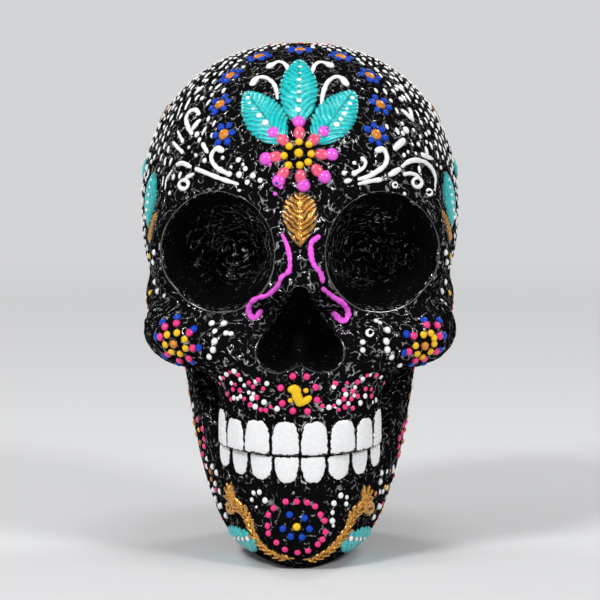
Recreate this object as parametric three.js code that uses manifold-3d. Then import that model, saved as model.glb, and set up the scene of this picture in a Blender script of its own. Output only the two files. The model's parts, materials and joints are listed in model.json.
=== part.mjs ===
// Sugar skull: a black lacquered resin skull with its jaw clenched, white teeth, and raised paint in
// the folk style, with flowers built from dots, leaves and scrolls.
// Millimetres, +Z up. The face looks along -Y, and left is -X, as seen from the front.
// The skull stands on its chin and on the stump of its neck. Nothing on it moves.

import * as THREE from "three";
import { mergeVertices } from "three/addons/utils/BufferGeometryUtils.js";
import Module from "manifold-3d";

const wasm = await Module();
wasm.setup();

// Cranium
const SKULL_HEIGHT = 164;
const VAULT_WIDTH = 105;
const VAULT_DEPTH = 114;
const VAULT_HEIGHT = 109;
const VAULT_BACKSET = 9; // vault centre behind the frame's middle
const FOREHEAD_WIDTH = 84;
const FOREHEAD_DEPTH = 76;
const FOREHEAD_HEIGHT = 70;
const FOREHEAD_ADVANCE = 24; // forehead's centre before the vault's
const FOREHEAD_RISE = 9.5; // and over it
const BROW_WIDTH = 95;
const BROW_DEPTH = 58;
const BROW_HEIGHT = 48;
const BROW_REACH = 55; // brow forward of the frame's middle
const BRIDGE_REACH = 60; // nose bridge forward of the frame's middle
const BRIDGE_TOP_RADIUS = 8;
const BRIDGE_TOP_SETBACK = 13;
const BRIDGE_TOP_RISE = 6; // over the middle of the eyes
const BRIDGE_TIP_RADIUS = 5;
const BRIDGE_TIP_DROP = 10; // under the middle of the eyes
const CHEEK_SPREAD = 34; // cheekbone centre, out from the middle
const CHEEK_HEIGHT = 71; // cheekbone centre over the floor
const CHEEK_WIDTH = 29;
const CHEEK_DEPTH = 30;
const CHEEK_THICKNESS = 21;
const CHEEK_REACH = 46; // cheekbone forward of the frame's middle
const CHEEK_INSET = 15; // swelling beside the nose, in from the cheekbone
const CHEEK_ADVANCE = 9; // before it
const CHEEK_DROP = 3; // and below it
const ARCH_RADIUS = 5.5; // bar from the cheekbone back to the ear
const ARCH_START_SPREAD = 9; // its front end, out from the cheekbone's centre
const ARCH_START_SETBACK = 7; // behind it
const ARCH_START_RISE = 3; // and over it
const ARCH_END_INSET = 7; // its rear end, in from the vault's side
const ARCH_END_BACKSET = 14;
const ARCH_END_RISE = 9; // over the cheekbone's centre
const MASTOID_WIDTH = 14; // knob behind the ear
const MASTOID_DEPTH = 20;
const MASTOID_HEIGHT = 22;
const MASTOID_INSET = 24.5; // in from the vault's side
const MASTOID_BACKSET = 26;
const MASTOID_LEVEL = 60; // its centre over the floor
const BACK_WALL_WIDTH = 66; // behind the teeth
const BACK_WALL_DEPTH = 32;
const BACK_WALL_HEIGHT = 40;
const BACK_WALL_REACH = 20;
const UPPER_JAW_WIDTH = 52;
const UPPER_JAW_DEPTH = 51;
const UPPER_JAW_HEIGHT = 48;
const UPPER_JAW_RISE = 16.2; // its centre over the bite
const FACE_REACH = 58.5; // upper jaw forward of the frame's middle
const NECK_BACKSET = 20;
const NECK_FOOT_RADIUS = 16;
const NECK_TOP_RADIUS = 20;
const NECK_TAPER_HEIGHT = 60;
const NECK_CHAMFER = 1.5;
const VAULT_FILLET = 8;
const ARCH_FILLET = 9;
const FACE_FILLET = 7;
const BASE_FILLET = 5;

// Eye sockets and nose
const EYE_HEIGHT = 98.2;
const EYE_SPACING = 51.8;
const SOCKET_WIDTH = 36.8;
const SOCKET_HEIGHT = 36.4;
const SOCKET_DEPTH = 48; // of the whole hollow, half of it in front of the rim
const SOCKET_REACH = 71.5; // front of the whole hollow, forward of the frame's middle
const POCKET_RADIUS = 10.5; // deeper round pocket at the inner side of each socket
const POCKET_STRETCH = 1.5; // it is longer than wide by this on each side
const POCKET_INSET = 4.9; // its centre in from the socket's
const POCKET_SETBACK = 17.5; // behind it
const POCKET_DROP = 1.9; // and below it
const NOSE_TOP = 88;
const NOSE_WIDTH = 26.4;
const NOSE_HEIGHT = 26;
const NOSE_DEPTH = 20;

// Lower jaw
const JAW_WIDTH = 76; // at the height of the jaw's angle
const JAW_ANGLE_HEIGHT = 54.6;
const JAW_REACH = 57; // front of the jaw forward of the frame's middle
const JAW_REAR = 16; // where the arch of the jaw is widest, behind the frame's middle
const JAW_HEEL_REACH = 17; // where its lower edge leaves the floor
const JAW_ANGLE_FILLET = 10;
const JAW_EDGE_FILLET = 4;
const JAW_FOOT_FILLET = 1.5;
const JAW_FOOT_TRIM = 0.4; // the fillet's skin reaches this far under the floor, which then cuts it flat
const CHIN_BULGE = 1.8;
const CHIN_BULGE_HEIGHT = 11;
const CHIN_BULGE_SPREAD = 7;
const CHIN_TUCK = 4.5; // the chin draws in towards the floor
const CHIN_TUCK_HEIGHT = 9;
const JAW_WALL = 7;
const CHIN_FLOOR = 13; // solid foot under the hollow of the jaw
const HOLLOW_FILLET = 4;
const RAMUS_BACKSET = 13;
const RAMUS_FRONT = 14; // front of the ramus forward of the frame's middle
const RAMUS_TOP = 70;
const RAMUS_FILLET = 3;
const HOLLOW_MARGIN = 10; // the hollow ends this far past the jaw's faces
const JAW_CENTRE_REACH = 15; // the place that the jaw's faces are drawn from
const JAW_CENTRE_HEIGHT = 32;

// Teeth
const BITE_HEIGHT = 35.8;
const BITE_GAP = 0.4; // half the dark line between the rows
const TOOTH_GAP = 0.4;
const TOOTH_THICKNESS = 4.2;
const UPPER_TOOTH_WIDTH = 8.5;
const UPPER_TOOTH_HEIGHT = 10.6;
const LOWER_TOOTH_WIDTH = 8;
const LOWER_TOOTH_HEIGHT = 8.2;
const TEETH_PER_SIDE = 4;

// Raised paint
const CLEARANCE = 0.35; // between a piece and the casting that carries it
const LEAF_RISE = 1.2;
const DOT_RISE = 0.9; // lowest ring of dots in a flower
const TIER_RISE = 0.45; // each ring further in stands higher by this
const MOTIF_GAP = 0.6; // between neighbouring motifs
const FOREHEAD_FLOWER_RISE = 29.9; // over the middle of the eyes
const BROW_STROKE_SPREAD = 8.5; // out from the middle of the eye
const BROW_STROKE_RISE = 7.7; // over the socket's rim
const NOSE_SCROLL_DROP = 1.2; // under the middle of the eyes
const OUTER_FEELER_SPREAD = 12.6; // out from the forehead flower's middle
const OUTER_FEELER_RISE = 36.4; // and over it
const INNER_FEELER_SPREAD = 9.7;
const INNER_FEELER_RISE = 55.2;
const CROWN_ARCH_RISE = 83; // top of the arch of small flowers, over the forehead flower's middle
const CHEEK_FLOWER_SPREAD = 4.2; // out from the cheekbone's centre
const CHEEK_FLOWER_DROP = 1.5; // and below it
const ROSETTE_HEIGHT = 14.5; // over the floor
const LINE_RADIUS = 0.9;
const LINE_LIFT = 0.5; // of a scroll's middle line over the casting
const CURL_RADIUS = 1.5; // round drop at the end of a scroll
const CROWN_DOT_RADIUS = 1.35;
const FLOWER_DOT_RADIUS = 1.9;
const FLOWER_INNER_DOT_RADIUS = 1.45;
const CHEEK_DOT_RADIUS = 1.25;
const ROSETTE_DOT_RADIUS = 1;
const ROSETTE_RADIUS = 8.4;
const LIP_RING_RADIUS = 5.6;
const FOREHEAD_LEAF_LENGTH = 25;
const FOREHEAD_LEAF_WIDTH = 11.6;
const BROW_LEAF_LENGTH = 16;
const BROW_LEAF_WIDTH = 10.8;
const TEMPLE_LEAF_LENGTH = 20;
const TEMPLE_LEAF_WIDTH = 12;
const TEMPLE_GOLD_LENGTH = 10;
const TEMPLE_GOLD_WIDTH = 5;
const CHIN_LEAF_LENGTH = 12;
const CHIN_LEAF_WIDTH = 8;
const SPRAY_HEAD_LENGTH = 9;
const SPRAY_HEAD_WIDTH = 5;

const SIDES = [
  { name: "left", sign: -1 },
  { name: "right", sign: 1 },
];
const UP = new THREE.Vector3(0, 0, 1);
const FAR = 200; // past every face of the skull
const LANDING_HEIGHT = 15; // over the skin, where a way down to it starts

// Fields: each is negative inside its shape and close to a distance in millimetres near its skin.

function join(a, b, reach) {
  const share = THREE.MathUtils.clamp(0.5 + (0.5 * (b - a)) / reach, 0, 1);
  return b + (a - b) * share - reach * share * (1 - share);
}

function trim(a, b, reach) {
  return -join(-a, -b, reach);
}

// A swollen box: power 2 is an ellipsoid, and a higher power has squarer shoulders.
function lobe([cx, cy, cz], [rx, ry, rz], power = 2) {
  const tiny = 1e-6;
  return (x, y, z) => {
    const qx = Math.abs(x - cx) / rx + tiny;
    const qy = Math.abs(y - cy) / ry + tiny;
    const qz = Math.abs(z - cz) / rz + tiny;
    const size = (qx ** power + qy ** power + qz ** power) ** (1 / power);
    const slope = Math.hypot(qx ** (power - 1) / rx, qy ** (power - 1) / ry, qz ** (power - 1) / rz);
    return (size - 1) / (size ** (1 - power) * slope);
  };
}

function taperedBar(start, end, startRadius, endRadius) {
  const a = new THREE.Vector3(...start);
  const along = new THREE.Vector3(...end).sub(a);
  const span = along.lengthSq();
  return (x, y, z) => {
    const dot = (x - a.x) * along.x + (y - a.y) * along.y + (z - a.z) * along.z;
    const t = THREE.MathUtils.clamp(dot / span, 0, 1);
    const reach = Math.hypot(x - a.x - along.x * t, y - a.y - along.y * t, z - a.z - along.z * t);
    return reach - (startRadius + (endRadius - startRadius) * t);
  };
}

const vaultCentre = [0, VAULT_BACKSET, SKULL_HEIGHT - VAULT_HEIGHT / 2];
const upperJawCentre = [0, UPPER_JAW_DEPTH / 2 - FACE_REACH, BITE_HEIGHT + UPPER_JAW_RISE];
const upperJawRadii = [UPPER_JAW_WIDTH / 2, UPPER_JAW_DEPTH / 2, UPPER_JAW_HEIGHT / 2];
const UPPER_JAW_POWER = 2.5;

const vaultRadii = [VAULT_WIDTH / 2, VAULT_DEPTH / 2, VAULT_HEIGHT / 2];
const foreheadCentre = [0, VAULT_BACKSET - FOREHEAD_ADVANCE, vaultCentre[2] + FOREHEAD_RISE];
const foreheadRadii = [FOREHEAD_WIDTH / 2, FOREHEAD_DEPTH / 2, FOREHEAD_HEIGHT / 2];
const browCentre = [0, BROW_DEPTH / 2 - BROW_REACH, EYE_HEIGHT];
const browRadii = [BROW_WIDTH / 2, BROW_DEPTH / 2, BROW_HEIGHT / 2];
const cheekCentre = [CHEEK_SPREAD, CHEEK_DEPTH / 2 - CHEEK_REACH, CHEEK_HEIGHT];
const innerCheekCentre = [
  CHEEK_SPREAD - CHEEK_INSET,
  cheekCentre[1] - CHEEK_ADVANCE,
  CHEEK_HEIGHT - CHEEK_DROP,
];
const cheekRadii = [CHEEK_WIDTH / 2, CHEEK_DEPTH / 2, CHEEK_THICKNESS / 2];
const archFront = [
  CHEEK_SPREAD + ARCH_START_SPREAD,
  cheekCentre[1] + ARCH_START_SETBACK,
  CHEEK_HEIGHT + ARCH_START_RISE,
];
const archRear = [VAULT_WIDTH / 2 - ARCH_END_INSET, ARCH_END_BACKSET, CHEEK_HEIGHT + ARCH_END_RISE];
const bridgeTop = [0, BRIDGE_TOP_SETBACK - BRIDGE_REACH, EYE_HEIGHT + BRIDGE_TOP_RISE];
const bridgeTip = [0, BRIDGE_TIP_RADIUS - BRIDGE_REACH, EYE_HEIGHT - BRIDGE_TIP_DROP];
const mastoidCentre = [VAULT_WIDTH / 2 - MASTOID_INSET, MASTOID_BACKSET, MASTOID_LEVEL];
const mastoidRadii = [MASTOID_WIDTH / 2, MASTOID_DEPTH / 2, MASTOID_HEIGHT / 2];
const backWallCentre = [0, BACK_WALL_DEPTH / 2 - BACK_WALL_REACH, upperJawCentre[2]];
const backWallRadii = [BACK_WALL_WIDTH / 2, BACK_WALL_DEPTH / 2, BACK_WALL_HEIGHT / 2];

// The cranium's swellings, each with the width of the fillet that blends it into those before it.
// Paired ones are on the right, and the field mirrors them.
const craniumLobes = [
  [lobe(vaultCentre, vaultRadii, 2.2), VAULT_FILLET],
  [lobe(foreheadCentre, foreheadRadii), VAULT_FILLET],
  [lobe(browCentre, browRadii, 2.4), VAULT_FILLET],
  [lobe(cheekCentre, cheekRadii), VAULT_FILLET],
  [lobe(innerCheekCentre, cheekRadii), VAULT_FILLET],
  [taperedBar(archFront, archRear, ARCH_RADIUS, ARCH_RADIUS), ARCH_FILLET],
  [lobe(upperJawCentre, upperJawRadii, UPPER_JAW_POWER), FACE_FILLET],
  [taperedBar(bridgeTop, bridgeTip, BRIDGE_TOP_RADIUS, BRIDGE_TIP_RADIUS), FACE_FILLET],
  [lobe(mastoidCentre, mastoidRadii), BASE_FILLET],
  [lobe(backWallCentre, backWallRadii, 2.8), BASE_FILLET],
];

function craniumField(x, y, z) {
  const side = Math.abs(x);
  return craniumLobes.reduce((value, [field, fillet]) => join(value, field(side, y, z), fillet), 1e3);
}

const JAW_POWER = 2.4;

function jawHalfWidth(z) {
  const flare = 0.2;
  const rise = THREE.MathUtils.clamp(z / JAW_ANGLE_HEIGHT, 0.005, 2);
  return (JAW_WIDTH / 2) * rise ** flare;
}

function jawFront(z) {
  const bulge = CHIN_BULGE * Math.exp(-(((z - CHIN_BULGE_HEIGHT) / CHIN_BULGE_SPREAD) ** 2));
  const tuck = CHIN_TUCK * THREE.MathUtils.clamp(1 - z / CHIN_TUCK_HEIGHT, 0, 1) ** 2;
  return -JAW_REACH - bulge + tuck;
}

// The horseshoe of the jaw seen from above, inset from its outer face.
function jawArch(x, y, z, inset) {
  const width = Math.max(jawHalfWidth(z) - inset, 4);
  const depth = JAW_REAR - jawFront(z) - 1.1 * inset;
  const across = Math.abs(x) / width + 1e-6;
  const along = Math.max((JAW_REAR - y) / depth, 0) + 1e-6;
  const size = (across ** JAW_POWER + along ** JAW_POWER) ** (1 / JAW_POWER);
  const slope = Math.hypot(across ** (JAW_POWER - 1) / width, along ** (JAW_POWER - 1) / depth);
  return (size - 1) / (size ** (1 - JAW_POWER) * slope);
}

const LOWER_EDGE_SLOPE = THREE.MathUtils.degToRad(41); // of the jaw's lower edge, up towards the rear

function mandibleField(x, y, z) {
  const lowerEdge = (y + JAW_HEEL_REACH) * Math.sin(LOWER_EDGE_SLOPE) - z * Math.cos(LOWER_EDGE_SLOPE);
  const rearEdge = trim(y - RAMUS_BACKSET, lowerEdge, JAW_ANGLE_FILLET);
  const sides = trim(jawArch(x, y, z, 0), rearEdge, JAW_EDGE_FILLET);
  const foot = trim(sides, -z - JAW_FOOT_TRIM, JAW_FOOT_FILLET);
  return trim(foot, z - RAMUS_TOP, RAMUS_FILLET);
}

const mandibleCentre = [0, -JAW_CENTRE_REACH, JAW_CENTRE_HEIGHT];

function mandibleHollowField(x, y, z) {
  const away = Math.hypot(x, y - mandibleCentre[1], z - mandibleCentre[2]);
  const hollow = trim(jawArch(x, y, z, JAW_WALL), CHIN_FLOOR - z, HOLLOW_FILLET);
  return trim(hollow, away - RAMUS_TOP - HOLLOW_MARGIN, HOLLOW_FILLET);
}

// Solids

function toSolid(geometry) {
  const bare = new THREE.BufferGeometry();
  bare.setAttribute("position", geometry.getAttribute("position"));
  bare.setIndex(geometry.index);
  const merged = mergeVertices(bare, 1e-4);
  const mesh = new wasm.Mesh({
    numProp: 3,
    vertProperties: new Float32Array(merged.getAttribute("position").array),
    triVerts: new Uint32Array(merged.index.array),
  });
  return new wasm.Manifold(mesh);
}

function toGeometry(solid) {
  const mesh = solid.getMesh();
  const geometry = new THREE.BufferGeometry();
  geometry.setAttribute("position", new THREE.BufferAttribute(mesh.vertProperties, 3));
  geometry.setIndex(new THREE.BufferAttribute(mesh.triVerts, 1));
  geometry.computeVertexNormals();
  return geometry;
}

function ellipsoid(centre, radii, around = 20, rings = 14) {
  const geometry = new THREE.SphereGeometry(1, around, rings);
  geometry.scale(...radii);
  geometry.translate(...centre);
  return toSolid(geometry);
}

function dot(centre, radius) {
  return ellipsoid(centre.toArray(), [radius, radius, radius], 7, 4);
}

function box([x0, y0, z0], [x1, y1, z1]) {
  const geometry = new THREE.BoxGeometry(x1 - x0, y1 - y0, z1 - z0);
  geometry.translate((x0 + x1) / 2, (y0 + y1) / 2, (z0 + z1) / 2);
  return toSolid(geometry);
}

function union(solids) {
  return solids.reduce((sum, solid) => sum.add(solid));
}

// A rounded body given by a field, seen from a centre inside it: its skin, and points on it.
class Form {
  constructor(field, centre, detail) {
    this.field = field;
    this.centre = new THREE.Vector3(...centre);
    this.detail = detail;
    this.solids = new Map();
  }

  value(point) {
    return this.field(point.x, point.y, point.z);
  }

  // The outermost place with this field value, straight out from the centre past a point.
  settle(point, level = 0) {
    const outward = point.clone().sub(this.centre).normalize();
    const place = new THREE.Vector3();
    const rest = (travel) => this.value(place.copy(this.centre).addScaledVector(outward, travel)) - level;
    let outside = FAR;
    let inside = outside;
    for (let gap = rest(inside); gap > 0; gap = rest(inside)) {
      outside = inside;
      inside -= Math.max(0.5 * gap, 0.3);
    }
    for (let pass = 0; pass < 24; pass += 1) {
      const middle = (outside + inside) / 2;
      if (rest(middle) > 0) outside = middle;
      else inside = middle;
    }
    return place.copy(this.centre).addScaledVector(outward, inside);
  }

  normal(point) {
    const step = 0.4;
    const slope = ["x", "y", "z"].map((axis) => {
      const ahead = point.clone();
      const behind = point.clone();
      ahead[axis] += step;
      behind[axis] -= step;
      return this.value(ahead) - this.value(behind);
    });
    return new THREE.Vector3(...slope).normalize();
  }

  // The faces of the body, swollen by a level.
  skin(level) {
    const ball = new THREE.IcosahedronGeometry(1, this.detail);
    ball.deleteAttribute("normal");
    ball.deleteAttribute("uv");
    const skin = mergeVertices(ball, 1e-4);
    const places = skin.getAttribute("position");
    const point = new THREE.Vector3();
    for (let i = 0; i < places.count; i += 1) {
      point.fromBufferAttribute(places, i).add(this.centre);
      places.setXYZ(i, ...this.settle(point, level).toArray());
    }
    return skin;
  }

  // The whole body, swollen by a level.
  solid(level = 0) {
    if (!this.solids.has(level)) this.solids.set(level, toSolid(this.skin(level)));
    return this.solids.get(level);
  }

  // Where a straight way from outside meets the faces.
  land(start, direction) {
    this.target ??= new THREE.Mesh(this.skin(0));
    return new THREE.Raycaster(start, direction).intersectObject(this.target)[0].point;
  }

  // The patch of skin met from straight ahead.
  front(x, z) {
    const place = this.land(new THREE.Vector3(x, -FAR, z), new THREE.Vector3(0, 1, 0));
    return new Patch(this, place, UP);
  }

  // A patch of skin in a direction from the centre, in degrees round from the face and up.
  patch(azimuth, elevation) {
    const round = THREE.MathUtils.degToRad(azimuth);
    const rise = THREE.MathUtils.degToRad(elevation);
    const way = new THREE.Vector3(Math.sin(round), -Math.cos(round), 0).multiplyScalar(Math.cos(rise));
    way.z = Math.sin(rise);
    return new Patch(this, this.settle(way.add(this.centre)), UP);
  }
}

// A place on a form with its own flat coordinates: u to the right and v up along the skin.
class Patch {
  constructor(form, origin, upward) {
    this.form = form;
    this.origin = origin;
    this.normal = form.normal(origin);
    this.up = upward.clone().addScaledVector(this.normal, -upward.dot(this.normal)).normalize();
    this.right = new THREE.Vector3().crossVectors(this.up, this.normal);
  }

  above(u, v) {
    return this.origin.clone().addScaledVector(this.right, u).addScaledVector(this.up, v);
  }

  // The skin straight under a point of the patch, or a place lifted off it.
  at(u, v, lift = 0) {
    const start = this.above(u, v).addScaledVector(this.normal, LANDING_HEIGHT);
    const point = this.form.land(start, this.normal.clone().negate());
    return point.addScaledVector(this.normal, lift);
  }

  // Another patch on the same skin, a way to the right and up from this one.
  shifted(u, v) {
    return new Patch(this.form, this.form.settle(this.above(u, v)), UP);
  }

  // Another patch on the same skin, whose v axis points away from this one.
  beside(angle, distance) {
    const turn = THREE.MathUtils.degToRad(angle);
    const away = this.right.clone().multiplyScalar(Math.cos(turn)).addScaledVector(this.up, Math.sin(turn));
    const point = this.form.settle(this.origin.clone().addScaledVector(away, distance));
    return new Patch(this.form, point, away);
  }

  // The same place with its axes turned, anticlockwise as seen from outside.
  turned(angle) {
    const upward = this.up.clone().applyAxisAngle(this.normal, THREE.MathUtils.degToRad(angle));
    return new Patch(this.form, this.origin, upward);
  }

  // An outline pushed straight through the skin.
  prism(shape) {
    const reach = 0.8 * LANDING_HEIGHT;
    const geometry = new THREE.ExtrudeGeometry(shape, {
      depth: 2 * reach,
      bevelEnabled: false,
      curveSegments: 6,
    });
    geometry.translate(0, 0, -reach);
    const place = new THREE.Matrix4().makeBasis(this.right, this.up, this.normal);
    place.setPosition(this.origin);
    geometry.applyMatrix4(place);
    return toSolid(geometry);
  }

  // The layer of raised paint inside an outline.
  relief(shape, rise) {
    const layer = this.form.solid(CLEARANCE + rise).intersect(this.prism(shape));
    return layer.subtract(this.seat());
  }

  // What raised paint lies on: the casting and its clearance.
  seat() {
    return this.form.solid(CLEARANCE);
  }
}

// Casting

const cranium = new Form(craniumField, vaultCentre, 10);
const mandible = new Form(mandibleField, mandibleCentre, 9);
const mandibleHollow = new Form(mandibleHollowField, mandibleCentre, 7);

function neckSolid() {
  const top = vaultCentre[2] - VAULT_HEIGHT / 4;
  const profile = [
    [0, 0],
    [NECK_FOOT_RADIUS - NECK_CHAMFER, 0],
    [NECK_FOOT_RADIUS, NECK_CHAMFER],
    [NECK_TOP_RADIUS, NECK_TAPER_HEIGHT],
    [NECK_TOP_RADIUS, top],
    [0, top],
  ];
  const geometry = new THREE.LatheGeometry(profile.map(([r, z]) => new THREE.Vector2(r, z)), 20);
  geometry.rotateX(Math.PI / 2);
  geometry.translate(0, NECK_BACKSET, 0);
  return toSolid(geometry);
}

function socketSolid(sign) {
  const x = (sign * EYE_SPACING) / 2;
  const y = SOCKET_DEPTH / 2 - SOCKET_REACH;
  const hollow = ellipsoid([x, y, EYE_HEIGHT], [SOCKET_WIDTH / 2, SOCKET_DEPTH / 2, SOCKET_HEIGHT / 2]);
  const pocketPlace = [x - sign * POCKET_INSET, y + POCKET_SETBACK, EYE_HEIGHT - POCKET_DROP];
  const pocketRadii = [POCKET_RADIUS, POCKET_RADIUS + POCKET_STRETCH, POCKET_RADIUS];
  return hollow.add(ellipsoid(pocketPlace, pocketRadii, 16, 10));
}

// The nose opening is a heart on its head: one point above, two lobes below with a spine between.
function noseSolid() {
  const half = NOSE_WIDTH / 2;
  const widest = NOSE_TOP - 0.72 * NOSE_HEIGHT;
  const foot = NOSE_TOP - NOSE_HEIGHT;
  const spine = NOSE_TOP - 0.86 * NOSE_HEIGHT;
  const shape = new THREE.Shape();
  shape.moveTo(0, NOSE_TOP);
  shape.bezierCurveTo(-0.3 * half, NOSE_TOP, -half, widest + 0.3 * NOSE_HEIGHT, -half, widest);
  shape.bezierCurveTo(-half, foot + 1, -0.8 * half, foot, -half / 2, foot);
  shape.quadraticCurveTo(-0.15 * half, foot, 0, spine);
  shape.quadraticCurveTo(0.15 * half, foot, half / 2, foot);
  shape.bezierCurveTo(0.8 * half, foot, half, foot + 1, half, widest);
  shape.bezierCurveTo(half, widest + 0.3 * NOSE_HEIGHT, 0.3 * half, NOSE_TOP, 0, NOSE_TOP);
  const depth = FAR - FACE_REACH + NOSE_DEPTH;
  const geometry = new THREE.ExtrudeGeometry(shape, { depth, bevelEnabled: false, curveSegments: 5 });
  geometry.rotateX(Math.PI / 2);
  geometry.translate(0, NOSE_DEPTH - FACE_REACH, 0);
  return toSolid(geometry);
}

function craniumSolid() {
  const belowBite = box([-FAR, -FAR, -FAR], [FAR, FAR, BITE_HEIGHT + BITE_GAP]);
  const openings = SIDES.map((side) => socketSolid(side.sign));
  return cranium.solid().subtract(belowBite).add(neckSolid()).subtract(union([...openings, noseSolid()]));
}

function mandibleSolid() {
  const aboveBite = box([-FAR, -FAR, BITE_HEIGHT - BITE_GAP], [FAR, -RAMUS_FRONT, FAR]);
  const belowFloor = box([-FAR, -FAR, -FAR], [FAR, FAR, 0]);
  const open = union([mandibleHollow.solid(), aboveBite, belowFloor]);
  return mandible.solid().subtract(open).subtract(cranium.solid(CLEARANCE));
}

// Teeth

// Half of a squared oval seen from above, from its left end round the front to its right end,
// with a straight run to the rear at both ends.
function archCurve(halfWidth, depth, rear, power) {
  const steps = 40;
  const points = Array.from({ length: steps + 1 }, (_, i) => {
    const turn = (i / steps - 0.5) * Math.PI;
    const x = halfWidth * Math.sign(turn) * Math.abs(Math.sin(turn)) ** (2 / power);
    const y = rear - depth * Math.abs(Math.cos(turn)) ** (2 / power);
    return new THREE.Vector3(x, y, 0);
  });
  const leftEnd = new THREE.Vector3(-halfWidth, rear + depth, 0);
  const rightEnd = new THREE.Vector3(halfWidth, rear + depth, 0);
  return new THREE.CatmullRomCurve3([leftEnd, ...points, rightEnd]);
}

function upperArch(z) {
  const drop = Math.abs(z - upperJawCentre[2]) / upperJawRadii[2];
  const share = (1 - drop ** UPPER_JAW_POWER) ** (1 / UPPER_JAW_POWER);
  return archCurve(upperJawRadii[0] * share, upperJawRadii[1] * share, upperJawCentre[1], UPPER_JAW_POWER);
}

function lowerArch(z) {
  return archCurve(jawHalfWidth(z), JAW_REAR - jawFront(z), JAW_REAR, JAW_POWER);
}

// A squared crown, narrower towards its root.
function crown(width, height, rootSign) {
  const squareness = 0.55;
  const taper = 0.1;
  const geometry = new THREE.SphereGeometry(1, 10, 6);
  const places = geometry.getAttribute("position");
  const squared = (value) => Math.sign(value) * Math.abs(value) ** squareness;
  for (let i = 0; i < places.count; i += 1) {
    const z = squared(places.getZ(i));
    const narrow = 1 - taper * (1 + rootSign * z);
    places.setXYZ(i, squared(places.getX(i)) * narrow, squared(places.getY(i)), z);
  }
  geometry.scale(width / 2, TOOTH_THICKNESS / 2, height / 2);
  return geometry;
}

function toothSolid(form, arch, side, index, width, height, middle, rootSign) {
  const along = side.sign * (index + 0.5) * (width + TOOTH_GAP);
  const share = 0.5 + along / arch.getLength();
  const point = arch.getPointAt(share);
  const tangent = arch.getTangentAt(share);
  const geometry = crown(width, height, rootSign);
  geometry.rotateZ(Math.atan2(tangent.y, tangent.x));
  geometry.translate(point.x, point.y, middle);
  return toSolid(geometry).subtract(form.solid(CLEARANCE));
}

// Motifs

function leafShape(length, width) {
  const half = length / 2;
  const shape = new THREE.Shape();
  shape.moveTo(0, -half);
  shape.bezierCurveTo(0.75 * width, -0.6 * half, 0.6 * width, 0.3 * half, 0, half);
  shape.bezierCurveTo(-0.6 * width, 0.3 * half, -0.75 * width, -0.6 * half, 0, -half);
  return shape;
}

function circlePoints(radius, sides) {
  return Array.from({ length: sides }, (_, i) => {
    const turn = (i / sides) * 2 * Math.PI;
    return new THREE.Vector2(radius * Math.cos(turn), radius * Math.sin(turn));
  });
}

function discShape(radius) {
  return new THREE.Shape(circlePoints(radius, 16));
}

// The outline of a ring of round dots whose paint runs together. A hole leaves room for a centre.
function dotRingShape(radius, dotRadius, count, hole) {
  const pointsPerDot = 3;
  const halfSweep = THREE.MathUtils.degToRad(75);
  const points = [];
  for (let i = 0; i < count; i += 1) {
    const turn = ((i + 0.5) / count) * 2 * Math.PI;
    for (let j = 0; j < pointsPerDot; j += 1) {
      const bend = turn + halfSweep * ((2 * j) / (pointsPerDot - 1) - 1);
      const x = radius * Math.cos(turn) + dotRadius * Math.cos(bend);
      const y = radius * Math.sin(turn) + dotRadius * Math.sin(bend);
      points.push(new THREE.Vector2(x, y));
    }
  }
  const shape = new THREE.Shape(points);
  if (hole > 0) shape.holes.push(new THREE.Path(circlePoints(hole, 16)));
  return shape;
}

// Rings of dots that rise in steps towards the middle, round a heart or a hole.
function flower(patch, rings, { heart = 0, hole = 0 }) {
  const tiers = rings.map((ring, step) => {
    const shape = dotRingShape(ring.radius, ring.dot, ring.count, hole);
    return patch.relief(shape, DOT_RISE + step * TIER_RISE);
  });
  const middle = heart > 0 ? [dot(patch.origin, heart).subtract(patch.seat())] : [];
  return union([...tiers, ...middle]);
}

// A line of paint squeezed along a curve, with a round drop at its far end.
function scroll(patch, path, radius, dropRadius) {
  const sides = 5;
  const steps = 2 * (path.length - 1);
  const line = new THREE.SplineCurve(path.map(([u, v]) => new THREE.Vector2(u, v)));
  const points = line.getPoints(steps).map(({ x, y }) => patch.at(x, y, LINE_LIFT));
  const geometry = new THREE.ExtrudeGeometry(new THREE.Shape(circlePoints(radius, sides)), {
    extrudePath: new THREE.CatmullRomCurve3(points),
    steps,
    bevelEnabled: false,
  });
  const ends = [dot(points[0], radius * 1.05), dot(points[points.length - 1], dropRadius)];
  return union([toSolid(geometry), ...ends]).subtract(patch.seat());
}

const mirrored = (path, sign) => path.map(([u, v]) => [sign * u, v]);

// Finishes

function finish(color, roughness = 0.3, metalness = 0) {
  return new THREE.MeshStandardMaterial({ color, roughness, metalness });
}

const blackLacquer = finish("#0d0d0f", 0.22);
const ivory = finish("#efece2", 0.35);
const white = finish("#f2f2ee");
const teal = finish("#20beb4");
const blue = finish("#0f46c8");
const magenta = finish("#f046e1");
const rose = finish("#e132cd");
const pink = finish("#f03c82");
const yellow = finish("#fab414");
const gold = finish("#be7d2d", 0.35, 0.7);

const skull = new THREE.Group();
const casting = new THREE.Group();
const teeth = new THREE.Group();
const paint = new THREE.Group();
skull.add(casting, teeth, paint);

function add(group, name, solid, material) {
  const mesh = new THREE.Mesh(toGeometry(solid), material);
  mesh.name = name;
  group.add(mesh);
}

const upperToothTop = BITE_HEIGHT + BITE_GAP + UPPER_TOOTH_HEIGHT;

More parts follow.
